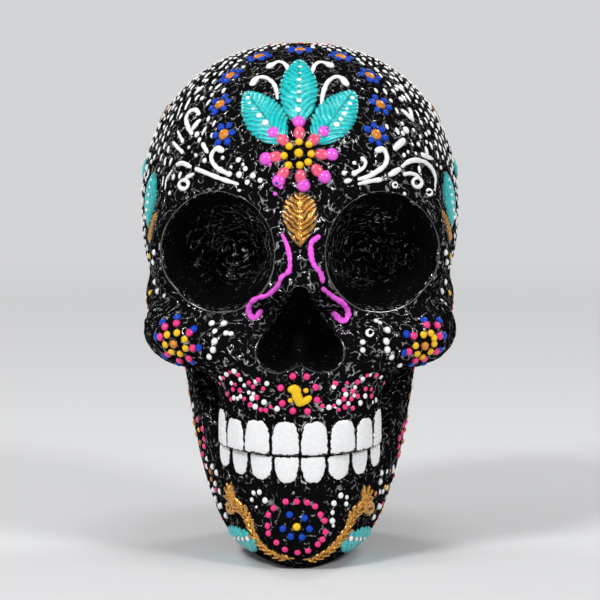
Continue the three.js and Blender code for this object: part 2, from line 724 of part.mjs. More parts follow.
function addTeeth() {
  const upperMiddle = upperToothTop - UPPER_TOOTH_HEIGHT / 2;
  const lowerMiddle = BITE_HEIGHT - BITE_GAP - LOWER_TOOTH_HEIGHT / 2;
  const rows = [
    ["upper_tooth", cranium, upperArch(upperMiddle), UPPER_TOOTH_WIDTH, UPPER_TOOTH_HEIGHT, upperMiddle, 1],
    ["lower_tooth", mandible, lowerArch(lowerMiddle), LOWER_TOOTH_WIDTH, LOWER_TOOTH_HEIGHT, lowerMiddle, -1],
  ];
  for (const [name, form, arch, ...sizes] of rows) {
    for (const side of SIDES) {
      for (let index = 0; index < TEETH_PER_SIDE; index += 1) {
        add(teeth, `${name}_${side.name}_${index + 1}`, toothSolid(form, arch, side, index, ...sizes), ivory);
      }
    }
  }
}

// The middle of the forehead's ornament, which the flower, the leaves and the crown's flowers lie round.
const foreheadPatch = cranium.front(0, EYE_HEIGHT + FOREHEAD_FLOWER_RISE);

// The forehead: a large flower with three leaves fanned over it and a gold leaf hanging under it.
function addForehead() {
  const patch = foreheadPatch;
  const heart = 1.5;
  const seedDot = 1.05;
  const seedRing = heart + seedDot;
  const hole = seedRing + seedDot + MOTIF_GAP;
  const innerRing = hole + FLOWER_INNER_DOT_RADIUS;
  const outerRing = innerRing + FLOWER_INNER_DOT_RADIUS + FLOWER_DOT_RADIUS;
  const outer = outerRing + FLOWER_DOT_RADIUS;
  const petals = [
    { radius: outerRing, dot: FLOWER_DOT_RADIUS, count: 8 },
    { radius: innerRing, dot: FLOWER_INNER_DOT_RADIUS, count: 8 },
  ];
  const seeds = [{ radius: seedRing, dot: seedDot, count: 8 }];
  add(paint, "forehead_flower_centre", flower(patch, seeds, { heart }), yellow);
  add(paint, "forehead_flower_petals", flower(patch, petals, { hole }), rose);

  const fan = 34;
  const start = outer + MOTIF_GAP;
  const leaf = leafShape(FOREHEAD_LEAF_LENGTH, FOREHEAD_LEAF_WIDTH);
  const middlePatch = patch.beside(90, start + 0.62 * FOREHEAD_LEAF_LENGTH);
  const margin = leafShape(FOREHEAD_LEAF_LENGTH + 2 * MOTIF_GAP, FOREHEAD_LEAF_WIDTH + 3 * MOTIF_GAP);
  const flowerMargin = patch.prism(discShape(start));
  const middleMargin = middlePatch.prism(margin);
  add(paint, "forehead_leaf_centre", middlePatch.relief(leaf, LEAF_RISE).subtract(flowerMargin), teal);
  for (const side of SIDES) {
    const sidePatch = patch.beside(90 - side.sign * fan, start + 0.55 * FOREHEAD_LEAF_LENGTH);
    const solid = sidePatch.relief(leaf, LEAF_RISE).subtract(flowerMargin).subtract(middleMargin);
    add(paint, `forehead_leaf_${side.name}`, solid, teal);
  }

  const browPatch = patch.beside(-90, start + BROW_LEAF_LENGTH / 2);
  const browLeaf = browPatch.relief(leafShape(BROW_LEAF_LENGTH, BROW_LEAF_WIDTH), LEAF_RISE);
  add(paint, "brow_gold_leaf", browLeaf.subtract(flowerMargin), gold);
}

// Small flowers in an arch over the leaves, from the left temple over the crown to the right one.
function addCrownFlowers() {
  const rising = [
    [0.325, 0.124],
    [0.388, 0.316],
    [0.411, 0.604],
    [0.283, 0.875],
  ];
  const places = [...mirrored(rising, -1), [0, 1], ...rising.toReversed()];
  const heart = CROWN_DOT_RADIUS;
  const ring = heart + CROWN_DOT_RADIUS;
  const petals = [{ radius: ring, dot: CROWN_DOT_RADIUS, count: 6 }];
  places.forEach(([u, v], index) => {
    const patch = foreheadPatch.shifted(u * CROWN_ARCH_RISE, v * CROWN_ARCH_RISE);
    const solid = flower(patch, petals, { heart });
    add(paint, `crown_flower_${index + 1}`, solid, blue);
  });
}

// White feelers beside the leaves, and long strokes over the eyes.
function addWhiteScrolls() {
  const outerFeeler = [
    [-2.2, -3.4],
    [-2.6, 0],
    [0.4, 2.6],
    [4.4, 2.4],
    [6, -0.2],
  ];
  const innerFeeler = [
    [-1.6, -4],
    [-1.6, 0],
    [1.2, 1.8],
    [3.6, 0],
  ];
  const browStroke = [
    [9.6, -3.6],
    [6.4, 0],
    [2.8, 1.2],
    [-1.6, 0.4],
    [-7, -2],
    [-13, -3.8],
  ];
  const browX = EYE_SPACING / 2 + BROW_STROKE_SPREAD;
  const browZ = EYE_HEIGHT + SOCKET_HEIGHT / 2 + BROW_STROKE_RISE;
  for (const { name, sign } of SIDES) {
    const outerPatch = foreheadPatch.shifted(sign * OUTER_FEELER_SPREAD, OUTER_FEELER_RISE);
    const innerPatch = foreheadPatch.shifted(sign * INNER_FEELER_SPREAD, INNER_FEELER_RISE);
    const strokes = [
      ["forehead_scroll_outer", outerPatch, outerFeeler],
      ["forehead_scroll_inner", innerPatch, innerFeeler],
      ["brow_scroll", cranium.front(sign * browX, browZ), browStroke],
    ];
    for (const [stroke, patch, path] of strokes) {
      const solid = scroll(patch, mirrored(path, sign), LINE_RADIUS, CURL_RADIUS);
      add(paint, `${stroke}_${name}`, solid, white);
    }
  }
}

// The sides of the head: a large leaf on each temple and a small gold one before it.
function addTemples() {
  const lean = 12;
  const leaf = leafShape(TEMPLE_LEAF_LENGTH, TEMPLE_LEAF_WIDTH);
  const goldLeaf = leafShape(TEMPLE_GOLD_LENGTH, TEMPLE_GOLD_WIDTH);
  for (const side of SIDES) {
    const patch = cranium.patch(side.sign * 64, 4).turned(side.sign * lean);
    const goldPatch = cranium.patch(side.sign * 51, -4).turned(side.sign * lean);
    add(paint, `temple_leaf_${side.name}`, patch.relief(leaf, LEAF_RISE), teal);
    add(paint, `temple_gold_leaf_${side.name}`, goldPatch.relief(goldLeaf, LEAF_RISE), gold);
  }
}

// Flowers of dots on the cheekbones.
function addCheeks() {
  const heart = 1.3;
  const seedDot = 0.95;
  const seedRing = heart + seedDot;
  const hole = seedRing + seedDot + MOTIF_GAP;
  const innerRing = hole + CHEEK_DOT_RADIUS;
  const outerRing = innerRing + 2 * CHEEK_DOT_RADIUS;
  const petals = [
    { radius: outerRing, dot: CHEEK_DOT_RADIUS, count: 8 },
    { radius: innerRing, dot: CHEEK_DOT_RADIUS, count: 8 },
  ];
  const seeds = [{ radius: seedRing, dot: seedDot, count: 8 }];
  for (const side of SIDES) {
    const x = CHEEK_SPREAD + CHEEK_FLOWER_SPREAD;
    const patch = cranium.front(side.sign * x, CHEEK_HEIGHT - CHEEK_FLOWER_DROP);
    add(paint, `cheek_flower_centre_${side.name}`, flower(patch, seeds, { heart }), yellow);
    add(paint, `cheek_flower_petals_${side.name}`, flower(patch, petals, { hole }), blue);
  }
}

// Magenta scrolls run down both sides of the nose bridge, the right one in two strokes.
function addNoseScrolls() {
  const patch = cranium.front(0, EYE_HEIGHT - NOSE_SCROLL_DROP);
  const left = [
    [-5.8, 7.2],
    [-4.2, 3.6],
    [-3.4, -1],
    [-3.8, -4.6],
    [-6.2, -7],
    [-8.4, -10.6],
    [-10.8, -12.8],
    [-14.2, -13.4],
    [-16.4, -15.4],
    [-16.8, -18.2],
    [-14.9, -20.2],
    [-12.7, -18.6],
  ];
  const rightUpper = [
    [5.9, 6.5],
    [3.5, 4.3],
    [3.5, 0.4],
    [4.6, -2.8],
    [6.6, -5.4],
    [7.3, -7.4],
  ];
  const rightLower = [
    [7.8, -11],
    [10.6, -13],
    [13.9, -14.8],
    [15.8, -17.4],
    [14.8, -20.6],
    [12.6, -20.2],
    [11.4, -18.4],
  ];
  add(paint, "nose_scroll_left", scroll(patch, left, LINE_RADIUS, CURL_RADIUS), magenta);
  add(paint, "nose_scroll_right_upper", scroll(patch, rightUpper, LINE_RADIUS, CURL_RADIUS), magenta);
  add(paint, "nose_scroll_right_lower", scroll(patch, rightLower, LINE_RADIUS, CURL_RADIUS), magenta);
}

// A ring of dots over the lip, and on the chin a rosette held by two gold sprays, with a leaf beside each.
function addMouth() {
  const lipHeight = upperToothTop + MOTIF_GAP + LIP_RING_RADIUS + CHEEK_DOT_RADIUS;
  const lipPatch = cranium.front(0, lipHeight);
  const lipDots = [{ radius: LIP_RING_RADIUS, dot: CHEEK_DOT_RADIUS, count: 8 }];
  add(paint, "lip_rosette", flower(lipPatch, lipDots, { heart: 2 }), pink);

  const patch = mandible.front(0, ROSETTE_HEIGHT);
  const rings = [
    { radius: ROSETTE_RADIUS, dot: ROSETTE_DOT_RADIUS, count: 19 },
    { radius: 0.55 * ROSETTE_RADIUS, dot: 1.45, count: 6 },
  ];
  add(paint, "chin_rosette", flower(patch, rings, { heart: 2 }), pink);

  const nearest = ROSETTE_RADIUS + ROSETTE_DOT_RADIUS + MOTIF_GAP + LINE_RADIUS;
  const spiral = [
    [-82, 0],
    [-62, 0.5],
    [-40, 1.4],
    [-16, 3],
    [8, 5.4],
    [22, 9],
  ];
  const head = leafShape(SPRAY_HEAD_LENGTH, SPRAY_HEAD_WIDTH);
  const leaf = leafShape(CHIN_LEAF_LENGTH, CHIN_LEAF_WIDTH);
  for (const side of SIDES) {
    const path = spiral.map(([angle, growth]) => {
      const turn = THREE.MathUtils.degToRad(angle);
      const radius = nearest + growth;
      return [side.sign * radius * Math.cos(turn), radius * Math.sin(turn)];
    });
    const [endU, endV] = path[path.length - 1];
    const headPatch = new Patch(mandible, patch.at(endU, endV), new THREE.Vector3(side.sign, 0, 1.6));
    const stem = scroll(patch, path, LINE_RADIUS, LINE_RADIUS * 1.05);
    add(paint, `chin_gold_spray_${side.name}`, stem.add(headPatch.relief(head, LEAF_RISE)), gold);
    const leafPatch = mandible.patch(side.sign * 50, -34).turned(90);
    add(paint, `chin_leaf_${side.name}`, leafPatch.relief(leaf, LEAF_RISE), teal);
  }
}

add(casting, "cranium", craniumSolid(), blackLacquer);
add(casting, "mandible", mandibleSolid(), blackLacquer);
addTeeth();
addForehead();
addCrownFlowers();
addWhiteScrolls();
addTemples();
addCheeks();
addNoseScrolls();
addMouth();

// The frame stands on the floor, in the middle of the skull's footprint.
const bounds = new THREE.Box3().setFromObject(skull);
skull.position.y = -(bounds.min.y + bounds.max.y) / 2;

export default skull;
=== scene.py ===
"""Looks of a black lacquered sugar skull with raised folk paint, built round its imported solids.

Lengths in this file are millimetres, in the skull's own frame: +Z up, the face along -Y, left is -X.
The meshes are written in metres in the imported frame, where the skull stands a little further forward.
Names that end in PX hold pixels of the photograph's 600 by 600 frame.
"""

import json
import logging
import math
from dataclasses import dataclass, replace
from enum import Enum
from typing import Callable, Sequence

import bpy
import numpy as np
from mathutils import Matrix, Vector
from mathutils.kdtree import KDTree


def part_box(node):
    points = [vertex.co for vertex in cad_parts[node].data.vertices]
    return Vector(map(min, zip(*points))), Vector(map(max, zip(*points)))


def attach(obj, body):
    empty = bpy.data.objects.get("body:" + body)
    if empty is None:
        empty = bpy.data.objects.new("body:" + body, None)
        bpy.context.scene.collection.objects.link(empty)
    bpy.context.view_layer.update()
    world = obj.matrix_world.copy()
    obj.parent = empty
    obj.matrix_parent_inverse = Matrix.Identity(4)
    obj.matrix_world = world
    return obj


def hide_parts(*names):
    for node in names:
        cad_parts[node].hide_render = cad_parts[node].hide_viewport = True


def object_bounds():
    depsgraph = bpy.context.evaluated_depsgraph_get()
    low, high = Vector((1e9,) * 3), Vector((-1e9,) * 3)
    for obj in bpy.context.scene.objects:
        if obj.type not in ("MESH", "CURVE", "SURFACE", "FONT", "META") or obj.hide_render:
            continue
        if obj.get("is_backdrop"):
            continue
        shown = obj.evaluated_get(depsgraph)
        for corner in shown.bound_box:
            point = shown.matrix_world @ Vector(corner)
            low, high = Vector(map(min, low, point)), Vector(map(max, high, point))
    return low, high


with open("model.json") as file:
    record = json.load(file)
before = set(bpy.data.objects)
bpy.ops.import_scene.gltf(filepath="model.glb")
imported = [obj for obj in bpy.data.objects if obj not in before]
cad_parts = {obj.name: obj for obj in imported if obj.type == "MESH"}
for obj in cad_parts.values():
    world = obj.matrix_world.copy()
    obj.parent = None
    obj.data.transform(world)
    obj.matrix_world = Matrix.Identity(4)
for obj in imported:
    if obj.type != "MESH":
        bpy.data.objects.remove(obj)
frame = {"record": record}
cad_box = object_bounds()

Array = np.ndarray
Field = Callable[[Array], Array]
Pair = tuple[float, float]
Triple = tuple[float, float, float]
Box = tuple[Triple, Triple]  # lowest and highest corner
Pixel = Pair
Dot = Triple  # a pixel and a radius in pixels
Color = Triple
Socket = bpy.types.NodeSocket

MM = 0.001
UP = (0.0, 0.0, 1.0)
NECK_BACKSET = 20.0  # of the neck's axis from the skull's own origin
BODY = "root"
log = logging.getLogger("sugar_skull")


def neck_foot_place() -> float:
    """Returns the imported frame's y of the neck's foot, in millimetres."""
    mounts = {mount["name"]: mount for mount in frame["record"]["mounts"]}
    return mounts["neck_foot"]["pos_m"][1] / MM


FRAME_SHIFT = np.array((0.0, neck_foot_place() - NECK_BACKSET, 0.0))


def node_middle(node: str) -> Array:
    """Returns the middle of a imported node's box in the skull's own frame."""
    low, high = (np.array(corner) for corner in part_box(node))
    return 0.5 * (low + high) / MM - FRAME_SHIFT


class Side(Enum):
    """The two sides of the face as the viewer sees them, with the sign of x."""

    LEFT = -1
    RIGHT = 1

    @property
    def word(self) -> str:
        """The side's name as it stands in a piece's name."""
        return self.name.lower()


# Fields: negative inside a shape, and close to a distance in millimetres near its skin


def smooth_min(a: Array, b: Array, reach: float) -> Array:
    """Joins two fields with a fillet.

    Args:
        a: First field's values.
        b: Second field's values.
        reach: Width of the fillet.

    Returns:
        The joined field's values.
    """
    share = np.clip(0.5 + 0.5 * (b - a) / reach, 0.0, 1.0)
    return b + (a - b) * share - reach * share * (1.0 - share)


def smooth_max(a: Array, b: Array, reach: float) -> Array:
    """Cuts one field by another with a fillet, with the arguments of smooth_min."""
    return -smooth_min(-a, -b, reach)


def mirrored(p: Array, soften: float = 0.0) -> Array:
    """Returns points p folded over to the right half, with the fold rounded off."""
    return np.column_stack((np.sqrt(p[:, 0] ** 2 + soften**2), p[:, 1], p[:, 2]))


@dataclass(frozen=True)
class Lobe:
    """A swollen box: power 2 is an ellipsoid, and a higher power has squarer shoulders."""

    centre: Triple
    radii: Triple
    power: float = 2.0

    def distance(self, p: Array) -> Array:
        """Works out the field.

        Args:
            p: Points, one a row.

        Returns:
            The field's values there.
        """
        q = np.abs(p - self.centre) / self.radii + 1e-6
        steep = q if self.power == 2.0 else q ** (self.power - 1.0)
        total = (steep * q).sum(axis=1)
        size = total ** (1.0 / self.power)
        slope = np.linalg.norm(steep / self.radii, axis=1)
        return (size - 1.0) * total / (size * slope)


@dataclass(frozen=True)
class Bar:
    """A round bar that tapers from one end to the other."""

    start: Triple
    end: Triple
    start_radius: float
    end_radius: float

    def distance(self, p: Array) -> Array:
        """Works out the field.

        Args:
            p: Points, one a row.

        Returns:
            The field's values there.
        """
        start = np.array(self.start)
        along = np.array(self.end) - start
        share = np.clip((p - start) @ along / (along @ along), 0.0, 1.0)
        reach = np.linalg.norm(p - start - share[:, None] * along, axis=1)
        return reach - self.start_radius - (self.end_radius - self.start_radius) * share


def slopes(field_of: Field, p: Array) -> Array:
    """Works out a field's gradient.

    Args:
        field_of: The field.
        p: Points, one a row.

    Returns:
        The gradients, one a row.
    """
    step = 0.08
    corners = np.array(((1, -1, -1), (-1, -1, 1), (-1, 1, -1), (1, 1, 1)), float)
    return sum(c * field_of(p + step * c)[:, None] for c in corners) / (4.0 * step)


def unit(v: Array) -> Array:
    """Returns the vectors in the rows of v at length 1."""
    return v / np.maximum(np.linalg.norm(v, axis=-1, keepdims=True), 1e-9)


class Squiggles:
    """A seeded pattern of meandering raised lines, as thick varnish over a rough casting has."""

    count: int = 9  # of the waves that are summed
    line_width: float = 1.3  # as a part of that sum

    def __init__(self, wavelength: float, seed: int) -> None:
        """Draws the waves.

        Args:
            wavelength: Of the waves that the lines follow.
            seed: Of the random draw.
        """
        rng = np.random.default_rng(seed)
        self.waves = unit(rng.normal(size=(self.count, 3))) * 2.0 * np.pi / wavelength
        self.phases = rng.uniform(0.0, 2.0 * np.pi, self.count)

    def ridge(self, p: Array) -> Array:
        """Returns 1 on a raised line and 0 away from it, at points p."""
        wave = np.sin(p @ self.waves.T + self.phases).sum(axis=1)
        return np.exp(-((wave / self.line_width) ** 2))


# Casting


@dataclass(frozen=True)
class BiteLine:
    """The line where the rows of teeth meet, which rises towards the back teeth."""

    rise: float = 1.7
    half_width: float = 24.0

    def lift(self, x: Array | float) -> Array | float:
        """Returns how far the line has risen at places x across the face."""
        return self.rise * (x / self.half_width) ** 2


@dataclass(frozen=True)
class Cranium:
    """The upper casting: vault, brow, cheekbones, upper jaw and neck, with its openings."""

    bite_line: BiteLine = BiteLine()
    vault: Lobe = Lobe((0.0, 9.0, 109.5), (52.5, 57.0, 54.5), 2.2)
    forehead: Lobe = Lobe((0.0, -15.0, 119.0), (42.0, 38.0, 35.0))
    brow: Lobe = Lobe((0.0, -26.0, 98.2), (47.5, 29.0, 24.0), 2.4)
    cheekbone: Lobe = Lobe((34.0, -31.0, 71.0), (14.5, 15.0, 10.5))
    cheek: Lobe = Lobe((19.0, -40.0, 68.0), (14.5, 15.0, 10.5))
    cheek_arch: Bar = Bar((43.0, -24.0, 74.0), (45.5, 14.0, 80.0), 5.5, 5.5)
    upper_jaw: Lobe = Lobe((0.0, -33.0, 52.0), (26.0, 25.5, 24.0), 2.5)
    nose_bridge: Bar = Bar((0.0, -47.0, 104.2), (0.0, -55.0, 88.2), 8.0, 5.0)
    ear_knob: Lobe = Lobe((28.0, 26.0, 60.0), (7.0, 10.0, 11.0))
    palate: Lobe = Lobe((0.0, -4.0, 52.0), (33.0, 16.0, 20.0), 2.8)
    vault_fillet: float = 8.0  # also of the brow and the cheeks
    arch_fillet: float = 9.0
    muzzle_fillet: float = 7.0
    base_fillet: float = 5.0
    inset: float = 0.5  # of the bare casting under its paint
    bite_height: float = 36.2
    bite_fillet: float = 0.8
    socket: Lobe = Lobe((25.9, -47.5, 98.2), (18.4, 24.0, 18.2))
    socket_fillet: float = 2.4
    pocket: Lobe = Lobe((21.0, -30.0, 96.3), (10.5, 12.0, 10.5))
    pocket_fillet: float = 1.2
    nose_half: Bar = Bar((0.0, 0.0, 85.2), (7.6, 0.0, 68.2), 4.2, 6.6)  # from the top to one wing
    nose_spine: float = 2.8  # how far the spine between the wings is rounded off
    nose_front: float = -58.0
    nose_back: float = -36.0
    nose_narrowing: float = 0.12  # over the depth
    narrowing_depth: float = 30.0  # where it ends
    nose_fillet: float = 1.2
    nose_back_fillet: float = 7.0
    neck_radii: Pair = (16.0, 20.0)  # at the floor and where the taper ends
    neck_taper: float = 60.0
    neck_top: float = 82.0
    neck_top_fillet: float = 2.0
    neck_fillet: float = 4.0
    foot_fillet: float = 1.5

    def swellings(self) -> list[tuple[Lobe | Bar, float]]:
        """Lists the right half's swellings.

        Returns:
            The swellings, each with the fillet that blends it in.
        """
        return [
            (self.vault, self.vault_fillet),
            (self.forehead, self.vault_fillet),
            (self.brow, self.vault_fillet),
            (self.cheekbone, self.vault_fillet),
            (self.cheek, self.vault_fillet),
            (self.cheek_arch, self.arch_fillet),
            (self.upper_jaw, self.muzzle_fillet),
            (self.nose_bridge, self.muzzle_fillet),
            (self.ear_knob, self.base_fillet),
            (self.palate, self.base_fillet),
        ]

    def outer(self, p: Array) -> Array:
        """Works out the field of the casting without its openings.

        Args:
            p: Points, one a row.

        Returns:
            The field's values.
        """
        right = mirrored(p)
        value = np.full(len(p), 1e3)
        for shape, fillet in self.swellings():
            value = smooth_min(value, shape.distance(right), fillet)
        return value + self.inset

    def over_bite(self, p: Array) -> Array:
        """Returns the field of the casting cut off at the bite, without its openings."""
        bite = self.bite_height + self.bite_line.lift(p[:, 0])
        return smooth_max(self.outer(p), bite - p[:, 2], self.bite_fillet)

    def sockets(self, p: Array) -> Array:
        """Returns the field of the eye sockets, with a deeper round pocket in each."""
        right = mirrored(p)
        return smooth_min(self.socket.distance(right), self.pocket.distance(right), self.pocket_fillet)

    def nose(self, p: Array) -> Array:
        """Works out the field of the nose opening: a heart on its head with a spine below.

        Args:
            p: Points, one a row.

        Returns:
            The field's values.
        """
        flat = mirrored(p, self.nose_spine) * (1.0, 0.0, 1.0)
        depth = np.clip(p[:, 1] - self.nose_front, 0.0, self.narrowing_depth)
        wall = self.nose_half.distance(flat) + self.nose_narrowing * depth
        return smooth_max(wall, p[:, 1] - self.nose_back, self.nose_back_fillet)

    def neck(self, p: Array) -> Array:
        """Works out the field of the neck's stump, which stands on the floor.

        Args:
            p: Points, one a row.

        Returns:
            The field's values.
        """
        low, high = self.neck_radii
        radius = low + (high - low) * np.clip(p[:, 2] / self.neck_taper, 0.0, 1.0)
        side = np.hypot(p[:, 0], p[:, 1] - NECK_BACKSET) - radius
        standing = smooth_max(side, -p[:, 2], self.foot_fillet)
        return smooth_max(standing, p[:, 2] - self.neck_top, self.neck_top_fillet)

    def body(self, p: Array) -> Array:
        """Works out the whole casting's field.

        Args:
            p: Points, one a row.

        Returns:
            The field's values.
        """
        value = smooth_min(self.over_bite(p), self.neck(p), self.neck_fillet)
        value = smooth_max(value, -self.sockets(p), self.socket_fillet)
        return smooth_max(value, -self.nose(p), self.nose_fillet)


@dataclass(frozen=True)
class Mandible:
    """The lower casting: a jaw that stands on its chin, with two rami up to the cheekbones."""

    cranium: Cranium
    half_width: float = 38.0
    flare: float = 0.2
    angle_height: float = 54.6
    reach: float = 57.0
    rear: float = 16.0
    power: float = 2.4
    wall: float = 7.0
    front_wall: float = 1.1  # thickness of the wall in front over that at the sides
    chin_floor: float = 13.0
    chin_bulge: float = 1.8
    chin_height: float = 11.0
    chin_spread: float = 7.0
    chin_tuck: float = 4.5  # how far the foot is drawn in
    tuck_height: float = 9.0
    bite_height: float = 35.4
    ramus_foot: float = -37.0  # where its front edge leaves the bite
    ramus_lean: float = 0.85
    ramus_top: float = 70.0
    ramus_rear: float = 13.0
    heel_reach: float = 17.0
    edge_slope: float = math.radians(41.0)
    glue_depth: float = 1.5  # that the rami reach into the cranium
    heel_fillet: float = 10.0
    side_fillet: float = 4.0
    top_fillet: float = 3.0
    foot_fillet: float = 1.5

    def front(self, z: Array) -> Array:
        """Works out the jaw's front: a bulging chin, drawn in at the floor.

        Args:
            z: Heights.

        Returns:
            The front's y at those heights.
        """
        bulge = self.chin_bulge * np.exp(-(((z - self.chin_height) / self.chin_spread) ** 2))
        tuck = self.chin_tuck * np.clip(1.0 - z / self.tuck_height, 0.0, 1.0) ** 2
        return tuck - self.reach - bulge

    def arch(self, p: Array, inset: float) -> Array:
        """Works out the field of the jaw's horseshoe, seen from above.

        Args:
            p: Points, one a row.
            inset: Of the horseshoe from the outer face.

        Returns:
            The field's values.
        """
        rise = np.clip(p[:, 2] / self.angle_height, 0.005, 2.0)
        width = np.maximum(self.half_width * rise**self.flare - inset, 4.0)
        depth = self.rear - self.front(p[:, 2]) - self.front_wall * inset
        across = np.abs(p[:, 0]) / width + 1e-6
        along = np.maximum((self.rear - p[:, 1]) / depth, 0.0) + 1e-6
        total = across**self.power + along**self.power
        size = total ** (1.0 / self.power)
        steep = self.power - 1.0
        slope = np.hypot(across**steep / width, along**steep / depth)
        return (size - 1.0) * total / (size * slope)

    def horseshoe(self, p: Array) -> Array:
        """Works out the field of the jaw before the bite and the hollow are cut.

        Args:
            p: Points, one a row.

        Returns:
            The field's values.
        """
        y, z = p[:, 1], p[:, 2]
        lower = (y + self.heel_reach) * math.sin(self.edge_slope) - z * math.cos(self.edge_slope)
        rear = smooth_max(y - self.ramus_rear, lower, self.heel_fillet)
        sides = smooth_max(self.arch(p, 0.0) + self.cranium.inset, rear, self.side_fillet)
        return smooth_max(smooth_max(sides, -z, self.foot_fillet), z - self.ramus_top, self.top_fillet)

    def outer(self, p: Array) -> Array:
        """Works out the field of the jaw without its hollow.

        Args:
            p: Points, one a row.

        Returns:
            The field's values.
        """
        over = p[:, 2] - self.bite_height - self.cranium.bite_line.lift(p[:, 0])
        front = self.ramus_foot + self.ramus_lean * over - p[:, 1]
        front = front / math.hypot(1.0, self.ramus_lean)
        cut = smooth_min(over, front, self.side_fillet)
        return smooth_max(self.horseshoe(p), cut, self.cranium.bite_fillet)

    def body(self, p: Array) -> Array:
        """Works out the whole jaw's field.

        Args:
            p: Points, one a row.

        Returns:
            The field's values.
        """
        hollow = smooth_max(self.arch(p, self.wall), self.chin_floor - p[:, 2], self.side_fillet)
        value = smooth_max(self.outer(p), -hollow, self.foot_fillet)
        joint = -self.glue_depth - self.cranium.over_bite(p)
        return smooth_max(value, joint, self.cranium.bite_fillet)


def field_grid(body: Field, low: Array, counts: Array, step: float, block: int) -> Array:
    """Works a field out on a grid, exactly near the skin and by sign elsewhere.

    Args:
        body: The field.
        low: Lowest corner of the grid.
        counts: Grid points along each axis, each a multiple of block.
        step: Between grid points.
        block: Grid points along the edge of a block that is kept or left whole.

    Returns:
        The field's values, as a block of numbers.
    """
    span = block * step
    middles = np.indices(counts // block).reshape(3, -1).T * span + low + 0.5 * (span - step)
    rough = body(middles).reshape(counts // block)
    for axis in range(3):
        rough = np.repeat(rough, block, axis=axis)
    near = np.abs(rough) < 1.7 * span  # well over half a block's diagonal
    rough[near] = body(np.argwhere(near) * step + low)
    return rough


def skin_mesh(body: Field, low: Sequence[float], high: Sequence[float], step: float) -> tuple[Array, Array]:
    """Makes a closed mesh of quads along a field's skin.

    Args:
        body: The field.
        low: Lowest corner of a box round the shape.
        high: Highest corner of that box.
        step: Width of a quad.

    Returns:
        The vertices, and the quads as rows of four indices.
    """
    block = 4
    corner = np.array(low, float)
    counts = (np.ceil((np.array(high) - corner) / step / block).astype(int) + 1) * block
    values = field_grid(body, corner, counts, step, block)
    cells, spots = [], []
    for axis in range(3):
        ahead = np.roll(values, -1, axis)
        crossing = (values < 0.0) != (ahead < 0.0)
        crossing[tuple(slice(-1, None) if a == axis else slice(None) for a in range(3))] = False
        places = np.argwhere(crossing)
        here, there = values[crossing], ahead[crossing]
        spot = places.astype(float)
        spot[:, axis] += here / (here - there)
        second, third = np.eye(3, dtype=int)[[(axis + 1) % 3, (axis + 2) % 3]]
        ring = [places, places - second, places - second - third, places - third]
        linear = np.stack([np.ravel_multi_index(cell.T, counts, mode="clip") for cell in ring], 1)
        linear[here > 0.0] = linear[here > 0.0][:, ::-1]
        cells.append(linear)
        spots.append(np.repeat(spot, 4, axis=0))
    unique, index = np.unique(np.concatenate(cells).ravel(), return_inverse=True)
    spot = np.concatenate(spots)
    share = np.bincount(index, minlength=len(unique))
    points = np.stack([np.bincount(index, spot[:, axis]) / share for axis in range(3)], 1)
    points = points * step + corner
    for _ in range(3):
        slope = slopes(body, points)
        move = body(points)[:, None] * slope / np.maximum((slope**2).sum(1, keepdims=True), 0.2)
        points = points - np.clip(move, -0.5 * step, 0.5 * step)
    return points, index.reshape(-1, 4)


# Camera


@dataclass(frozen=True)
class StudioCamera:
    """The photograph's viewpoint."""

    distance: float = 850.0
    elevation: float = math.radians(4.5)
    target: Triple = (0.0, 0.0, 79.6)
    pixel: float = 0.3285  # width of a pixel at the target
    frame_pixels: int = 600
    sensor: float = 36.0

    @property
    def back(self) -> Array:
        """The way from the target to the camera."""
        return np.array((0.0, -math.cos(self.elevation), math.sin(self.elevation)))

    @property
    def up(self) -> Array:
        """The way up in the picture."""
        return np.array((0.0, math.sin(self.elevation), math.cos(self.elevation)))

    @property
    def place(self) -> Array:
        """Where the camera stands."""
        return np.array(self.target) + self.distance * self.back

    def ways(self, pixels: Array) -> Array:
        """Finds the directions from the camera through pixels of the photograph.

        Args:
            pixels: The pixels, one a row.

        Returns:
            The directions, one a row.
        """
        offset = (pixels - 0.5 * self.frame_pixels) * self.pixel
        way = -self.distance * self.back - offset[:, 1:] * self.up
        way[:, 0] += offset[:, 0]
        return unit(way)

    def widths(self, points: Array) -> Array:
        """Returns the width of one pixel at points of the skull."""
        return self.pixel * (self.place - points) @ self.back / self.distance

    def pixels(self, points: Array) -> Array:
        """Finds the pixels of the photograph where points of the skull lie.

        Args:
            points: The points, one a row.

        Returns:
            The pixels, one a row.
        """
        offset = points - self.place
        scale = 1.0 / self.widths(points)
        half = 0.5 * self.frame_pixels
        return np.column_stack((half + offset[:, 0] * scale, half - (offset @ self.up) * scale))

    def build(self) -> None:
        """Makes the camera and looks through it."""
        data = bpy.data.cameras.new("camera")
        data.sensor_width = self.sensor
        data.lens = self.sensor * self.distance / (self.pixel * self.frame_pixels)
        camera = bpy.data.objects.new("camera", data)
        camera.location = Vector((self.place + FRAME_SHIFT) * MM)
        camera.rotation_euler = Vector(-self.back).to_track_quat("-Z", "Y").to_euler()
        bpy.context.scene.collection.objects.link(camera)
        bpy.context.scene.camera = camera


# Places on the skin

DROP_HEIGHT = 9.0  # over the skin, from where paint is laid down on it
CAMERA_LEAD = 700.0  # of the way from the camera that is clear of the skull
VAULT_REACH = 120.0  # from the vault's centre to clear of the skull


@dataclass(frozen=True)
class Places:
    """Spots on the skin, one a row, each with its outward normal and a heading along the skin."""

    points: Array
    normals: Array
    headings: Array

    @property
    def sides(self) -> Array:
        """The ways along the skin across the headings."""
        return np.cross(self.normals, self.headings)

    def raised(self, lift: float) -> "Places":
        """Returns the same spots lifted off the skin."""
        return Places(self.points + lift * self.normals, self.normals, self.headings)

    def chosen(self, keep: Array) -> "Places":
        """Returns the spots that a row of true and false values keeps."""
        return Places(self.points[keep], self.normals[keep], self.headings[keep])


